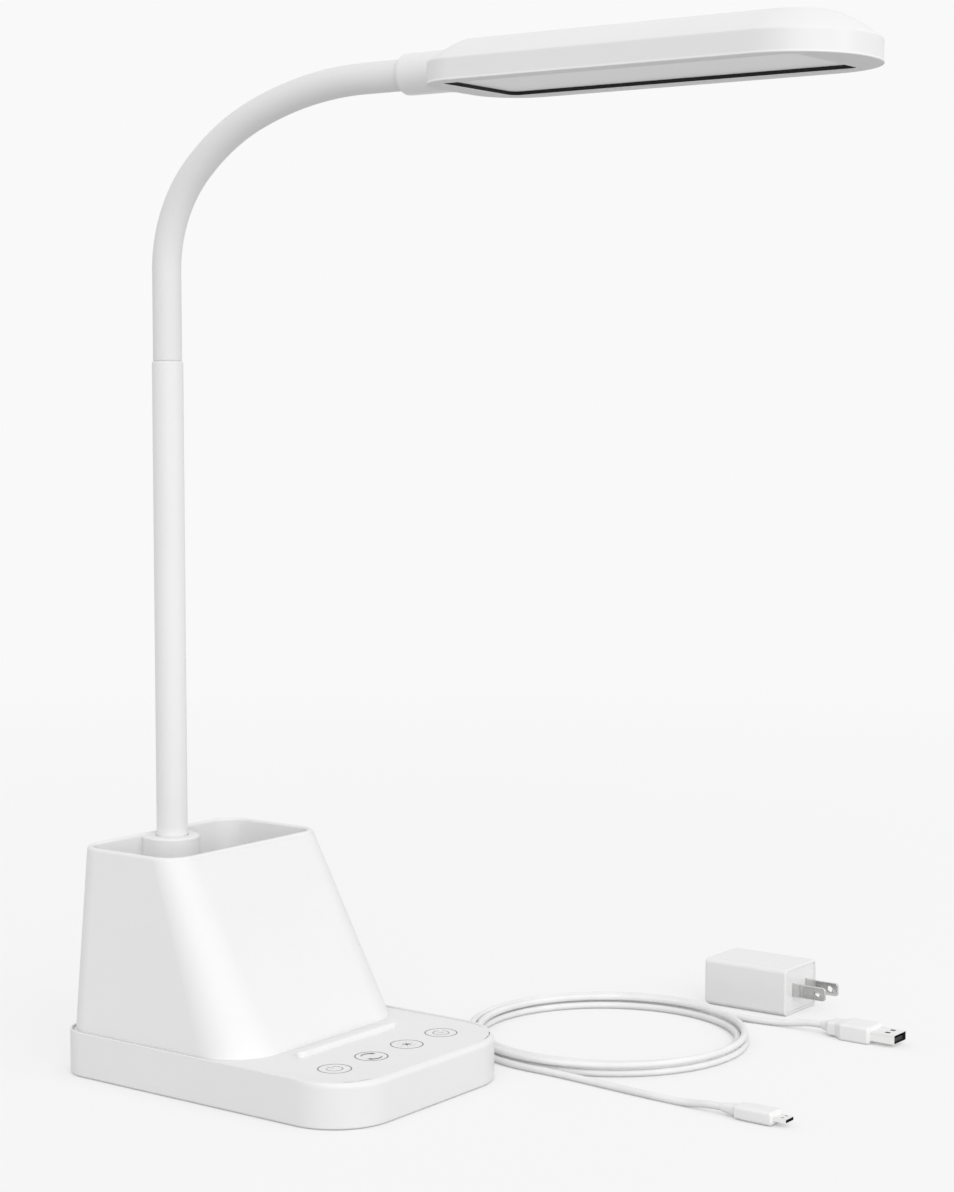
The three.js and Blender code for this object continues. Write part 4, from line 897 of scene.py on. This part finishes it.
def head_piece():
    bottom = HEAD_BOTTOM - LIP
    levels = [
        (bottom, 0.35), (bottom + 0.12, 0.1), (bottom + 0.3, 0), (bottom + 0.5, 0), (bottom + 0.95, 0.28),
        (bottom + 1.1, 0.3), (BAND_TOP, 0.3), (BAND_TOP + 0.35, 0.33), (BAND_TOP + 0.65, 0.42),
        *bevel_levels(), (HEAD_TOP - 0.2, 15.0), (HEAD_TOP - 0.06, 15.5), (HEAD_TOP, 16.2),
    ]
    opening, wider = head_ring(OPENING), head_ring(OPENING, -0.5)
    rings = [at(z, opening) for z in (RECESS_ROOF, bottom + 0.45)]
    rings += [at(z, wider) for z in (bottom + 0.1, bottom)]
    rings += [[(x, y, blended(x, y, z)) for x, y in head_ring(HEAD, inset)] for z, inset in levels]
    # The first band, the recess walls, takes the nearly black finish of painted shade.
    finishes = [RECESS, SHELL, SHELL, UNDERSIDE] + [SHELL] * len(levels)
    shape = Shape().rings(rings, finishes=finishes).move(on_head)
    return even_shading(shape.piece("head_moulding", HEAD_WHITE, RECESS_PAINTED_SHADE, UNDERSIDE_WHITE, crease=38))


dress(head_piece(), "head", "body_white", "head_frame", "head_cover")


def collar_piece():
    """A sleeve round the neck's end that flares where it runs into the head, and tapers inside it."""
    flare, flare_start = 3.2, -21.8
    inside_head, lowest, lowest_inside = -27.5, HEAD_BOTTOM + 0.05, -3.6
    profile = [
        (6.75, -3.2), (6.75, -0.35), (6.95, -0.05), (7.3, 0), (7.7, -0.1), (8.1, -0.4), (8.36, -0.9),
        (8.48, -1.5), (COLLAR_RADIUS, -2.2), (COLLAR_RADIUS, -12), (COLLAR_RADIUS, -19),
    ]
    for degrees in range(0, 91, 15):
        out, along = flare * (1 - math.cos(math.radians(degrees))), flare * math.sin(math.radians(degrees))
        profile.append((COLLAR_RADIUS + out, flare_start - along))
    profile += [(11.7, -26.5), (8.4, -28), (8.4, -41), (4, -41)]
    rings = []
    for radius, y in profile:
        ring = []
        for c, s in circle(96):
            here = radius
            if radius > COLLAR_RADIUS:
                here = COLLAR_RADIUS + (radius - COLLAR_RADIUS) * smooth(-s, -0.35, 0.15)
            ring.append((here * c, y, max(here * s, lowest_inside if y < inside_head else lowest)))
        rings.append(ring)
    shape = Shape().rings(rings).move(on_head)
    return even_shading(shape.piece("head_collar_sleeve", HEAD_WHITE, crease=40))


dress(collar_piece(), "head", "body_white", "head_collar")

panel = Shape().rings([at(z, outline(OPENING, -PANEL_IN_WALL, steps=8)) for z in PANEL_LEVELS])
dress(panel.move(on_head).piece("diffuser_panel", OPAL), "head", "diffuser_white", "diffuser")


# Printed keys: a thin ring and a simple sign on each, as flat ink on the deck
INK_LOW = DECK_TOP - 0.02
INK_HIGH = DECK_TOP + 0.03
KEY_Y = -57.2
KEY_X = (-36.3, -12.1, 12.1, 36.3)
KEY_RADIUS = 7
RING_WIDTH = 0.58
LINE = 0.5  # width of a sign's lines
INK_GREY, INK_DARK, INK_PALE = range(3)


def ink_ring(centre, radius, half, angle):
    """A cut through a band of ink, square to an arc."""
    near, far = radius - half, radius + half
    return [(centre[0] + r * math.cos(angle), centre[1] + r * math.sin(angle), z)
            for r, z in ((near, INK_LOW), (far, INK_LOW), (far, INK_HIGH), (near, INK_HIGH))]


def arc_band(shape, centre, radius, width, start, end, finish, steps=40):
    """A flat band of ink along an arc. A full circle closes on itself."""
    full = abs(end - start) >= 360
    angles = [math.radians(start + (end - start) * k / steps) for k in range(steps if full else steps + 1)]
    rings = [ink_ring(centre, radius, width / 2, angle) for angle in angles]
    shape.rings(rings, closed=full, finish=finish)


def flat_sign(shape, points, finish):
    """A flat patch of ink."""
    shape.rings([at(INK_LOW, points), at(INK_HIGH, points)], finish=finish)


def bar(shape, start, end, width, finish):
    """A straight stroke of ink."""
    a, b = Vector(start), Vector(end)
    side = Vector((-(b - a).y, (b - a).x)).normalized() * width / 2
    flat_sign(shape, [tuple(p) for p in (a - side, b - side, b + side, a + side)], finish)


def arrow(shape, centre, radius, start, end, finish):
    """A curved arrow that widens towards its head."""
    steps, thin, widening = 18, 0.2, 0.55
    rings = []
    for k in range(steps + 1):
        angle = math.radians(start + (end - start) * k / steps)
        rings.append(ink_ring(centre, radius, thin + widening * k / steps, angle))
    shape.rings(rings, finish=finish)
    angle = math.radians(end)
    way = 1 if end > start else -1
    tip = Vector((centre[0] + radius * math.cos(angle), centre[1] + radius * math.sin(angle)))
    along = Vector((-math.sin(angle), math.cos(angle))) * way
    out = Vector((math.cos(angle), math.sin(angle)))
    corners = (tip + out * 1.3, tip + along * 1.9 - out * 0.3, tip - out * 1.3)
    flat_sign(shape, [tuple(p) for p in corners], finish)


def key_signs():
    """Power, colour, brightness and timer, each in its ring."""
    shape = Shape()
    power, colour, level, timer = [(x, KEY_Y) for x in KEY_X]
    for place in (power, colour, level, timer):
        arc_band(shape, place, KEY_RADIUS, RING_WIDTH, 0, 360, INK_GREY, 72)
    arc_band(shape, power, 3.4, LINE, 122, 418, INK_PALE)
    bar(shape, (power[0], KEY_Y + 0.9), (power[0], KEY_Y + 4.1), LINE, INK_PALE)
    arrow(shape, colour, 4.4, 128, 40, INK_DARK)
    arrow(shape, colour, 4.4, -52, -140, INK_DARK)
    arc_band(shape, level, 0.5, 1.0, 0, 360, INK_DARK, 24)
    middle = Vector(level)
    for k in range(8):
        way = Vector((math.cos(math.radians(45 * k)), math.sin(math.radians(45 * k))))
        bar(shape, middle + way * 1.35, middle + way * 2.2, 0.45, INK_DARK)
        bar(shape, middle + way * 3.4, middle + way * 4.3, 0.3, INK_PALE)
    arc_band(shape, timer, 3.5, LINE, 60, 390, INK_PALE)
    bar(shape, timer, (timer[0], KEY_Y + 2.1), 0.45, INK_PALE)
    bar(shape, timer, (timer[0] + 1.5, KEY_Y - 0.8), 0.45, INK_PALE)
    return shape


dress(key_signs().piece("key_prints", PRINT_GREY, PRINT_DARK, PRINT_PALE), "stand", "body_white")


# Adapter: a rounded case with an inset face, two holed blades and a port
ADAPTER = Vector((232, -105, 11.5))
ADAPTER_WIDTH = 31
ADAPTER_HEIGHT = 23
ADAPTER_FRONT = -127.5
ADAPTER_REAR = -82.5
FACE_INSET = 2.9
BLADE_OUT = 6.35  # of each blade from the middle
BLADE_WIDTH = 6.35
BLADE_THICKNESS = 1.5
BLADE_LENGTH = 17
BLADE_IN_CASE = 6
BLADE_HOLE = (4.4, 1.6)  # distance from the tip, radius
BLADE_SLOT = (0.95, 3.4)  # half width and half height
PORT = (14.9, 7.5, 0.6)
PORT_DEPTH = 14


def bar_ring(width, height, round_edge, y, steps=6):
    box = round_box(width / 2, -height / 2, height / 2, round_edge)
    return [(ADAPTER.x + x, y, ADAPTER.z + z) for x, z in outline(box, steps=steps)]


def adapter_ring(inset, round_edge, y):
    return bar_ring(ADAPTER_WIDTH - inset, ADAPTER_HEIGHT - inset, round_edge, y)


def adapter_case():
    levels = (
        (FACE_INSET, 1.2, ADAPTER_FRONT + 2.7), (FACE_INSET, 1.2, ADAPTER_FRONT + 0.15),
        (2.7, 1.3, ADAPTER_FRONT), (1.0, 2.0, ADAPTER_FRONT), (0.3, 2.2, ADAPTER_FRONT + 0.25),
        (0, 2.4, ADAPTER_FRONT + 0.8), (0, 2.4, ADAPTER_REAR - 1.6), (0.35, 2.3, ADAPTER_REAR - 0.75),
        (1.1, 2.1, ADAPTER_REAR - 0.25), (2.2, 1.8, ADAPTER_REAR),
    )
    case = Shape().rings([adapter_ring(*level) for level in levels])
    case = case.piece("adapter_moulding", ADAPTER_WHITE, crease=36)
    hole = Shape().rings([bar_ring(*PORT, ADAPTER_REAR + y) for y in (-PORT_DEPTH, 4)])
    cut(case, hole.piece("port_hole", ADAPTER_WHITE))
    return even_shading(case)


dress(adapter_case(), "stand", "adapter_white", "adapter_case")


def adapter_face():
    levels = (
        (FACE_INSET, 1.2, ADAPTER_FRONT + 2.6), (FACE_INSET, 1.2, ADAPTER_FRONT + 0.75),
        (FACE_INSET + 0.3, 1.1, ADAPTER_FRONT + 0.55), (FACE_INSET + 1.0, 1.0, ADAPTER_FRONT + 0.5),
    )
    face = Shape().rings([adapter_ring(*level) for level in levels])
    face = face.piece("adapter_front", ADAPTER_WHITE, crease=36)
    half_width, half_height = BLADE_SLOT
    tools = []
    for side in (-1, 1):
        slot = round_box(half_width, -half_height, half_height, 0.3, middle=side * BLADE_OUT)
        tool = Shape().rings([[(ADAPTER.x + x, ADAPTER_FRONT + y, ADAPTER.z + z)
                               for x, z in outline(slot, steps=2)] for y in (-2, 2.2)])
        tools.append(tool.piece("blade_slot", ADAPTER_WHITE))
    cut(face, *tools)
    return even_shading(face)


dress(adapter_face(), "stand", "adapter_white", "adapter_face")


def blade_piece(name, side):
    """A flat pressed blade with eased edges, a tapered tip and a round hole."""
    x, half = ADAPTER.x + side * BLADE_OUT, BLADE_THICKNESS / 2
    tip, root = ADAPTER_FRONT - BLADE_LENGTH, ADAPTER_FRONT + BLADE_IN_CASE
    edge = BLADE_WIDTH / 2
    form = [(tip, 1.0 - edge), (tip + 0.5, 0.3 - edge), (tip + 1.3, -edge), (root, -edge),
            (root, edge), (tip + 1.3, edge), (tip + 0.5, edge - 0.3), (tip, edge - 1.0)]
    middle = sum(y for y, _ in form) / len(form)
    rings = []
    for across, ease in ((-half, 0.25), (0.12 - half, 0.08), (0.3 - half, 0),
                         (half - 0.3, 0), (half - 0.12, 0.08), (half, 0.25)):
        eased = [(y + math.copysign(ease, middle - y), z - math.copysign(ease, z)) for y, z in form]
        rings.append([(x + across, y, ADAPTER.z + z) for y, z in eased])
    blade = Shape().rings(rings).piece(name, BLADE_NICKEL_PAINTED_SHADE, crease=36)
    from_tip, radius = BLADE_HOLE
    rim = [(tip + from_tip + radius * c, ADAPTER.z + radius * s) for c, s in circle(40)]
    hole = Shape().rings([[(side_x, y, z) for y, z in rim] for side_x in (x - 3, x + 3)])
    cut(blade, hole.piece("blade_hole", BLADE_NICKEL_PAINTED_SHADE))
    return even_shading(blade)


dress(blade_piece("adapter_blade_near", -1), "stand", "nickel", "adapter_blade_left")
dress(blade_piece("adapter_blade_far", 1), "stand", "nickel", "adapter_blade_right")

# Finishes of the solids that keep their own meshes
KEPT = {
    "bottom_cover": BODY_WHITE, "foot_": RUBBER, "base_screw_": STEEL, "cup_screw_": STEEL,
    "counterweight": STEEL, "touch_board": BOARD, "power_board": BOARD, "touch_pad_": NICKEL,
    "power_inlet": NICKEL, "arm_washer": STEEL, "arm_nut": STEEL, "arm_wire": WIRE_BLACK,
    "head_wire": WIRE_BLACK, "light_guide": GUIDE, "led_board": ALUMINIUM, "adapter_port": NICKEL,
}
for node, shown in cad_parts.items():
    if shown.hide_render:
        continue
    for start, finish in KEPT.items():
        if node.startswith(start):
            shown.data.materials.clear()
            shown.data.materials.append(finish)

# Floor, which is pale to the camera and keeps the lamp's soft shadow
GROUND = 0.948
GROUND_ALBEDO = 0.9
FLOOR_HALF = 6  # metres


class Stage(Finish):
    """The nodes of the floor's finish or of the world, which end in another shader than a piece's."""

    def __init__(self, tree):
        self.tree = tree
        tree.nodes.clear()

    def seen(self):
        """1 for what the camera sees, straight, in a reflection or through something clear."""
        rays = [self.node("ShaderNodeLightPath", output="Is %s Ray" % kind)
                for kind in ("Camera", "Glossy", "Transmission")]
        return self._either(self._either(rays[0], rays[1]), rays[2])

    def _either(self, a, b):
        return self.node("ShaderNodeMath", {"operation": "MAXIMUM"}, {0: a, 1: b})

    def choose(self, share, a, b):
        return self.node("ShaderNodeMixShader", None, {0: share, 1: a, 2: b})

    def show(self, kind, shader):
        self.node(kind, None, {"Surface": shader}, output=None)


def ground_finish():
    """Pale to the camera, with a soft shadow, and mid grey to other rays, to keep undersides shaded."""
    material = bpy.data.materials.new("floor_pale")
    material.use_nodes = True
    stage = Stage(material.node_tree)
    matt = stage.node("ShaderNodeBsdfDiffuse", None, {"Color": grey(0.56)}, "BSDF")
    pale = stage.node("ShaderNodeBsdfDiffuse", None, {"Color": grey(GROUND_ALBEDO)}, "BSDF")
    even = stage.node("ShaderNodeEmission", None, {"Color": grey(GROUND)}, "Emission")
    place = stage.node("ShaderNodeTexCoord", output="Object")
    away = stage.node("ShaderNodeVectorMath", {"operation": "LENGTH"}, {0: place}, "Value").over(0.5, 1.8)
    open_ground = stage.corner(0.012) * 0.75 + 0.25
    soft = stage.choose((0.66 + away * 0.34) * open_ground, pale, even)
    stage.show("ShaderNodeOutputMaterial", stage.choose(stage.seen(), matt, soft))
    return material


floor_mesh = bpy.data.meshes.new("floor")
floor_corners = [(x * FLOOR_HALF, y * FLOOR_HALF, 0) for x, y in ((-1, -1), (1, -1), (1, 1), (-1, 1))]
floor_mesh.from_pydata(floor_corners, [], [(0, 1, 2, 3)])
floor_mesh.materials.append(ground_finish())
floor = bpy.data.objects.new("floor", floor_mesh)
scene.collection.objects.link(floor)

# Plain soft light
world = bpy.data.worlds.new("studio")
world.use_nodes = True
scene.world = world
studio = Stage(world.node_tree)
plain = studio.node("ShaderNodeBackground", None, {"Color": grey(1), "Strength": 0.79})
pale = studio.node("ShaderNodeBackground", None, {"Color": grey(GROUND)})
studio.show("ShaderNodeOutputWorld", studio.choose(studio.seen(), plain, pale))

sun = bpy.data.lights.new("key_light", "SUN")
sun.energy = 1.15
sun.angle = math.radians(60)
sun_object = bpy.data.objects.new("key_light", sun)
scene.collection.objects.link(sun_object)
sun_object.rotation_euler = Vector((-0.6, -0.68, 0.44)).to_track_quat("Z", "Y").to_euler()

strip = bpy.data.lights.new("strip_light", "AREA")
strip.shape = "RECTANGLE"
strip.size = 0.22
strip.size_y = 1.6
strip.energy = 4.2
strip_object = bpy.data.objects.new("strip_light", strip)
scene.collection.objects.link(strip_object)
strip_object.location = (0.18, -1.7, 0.5)
strip_object.rotation_euler = (math.radians(90), 0, 0)
strip_object.visible_camera = False
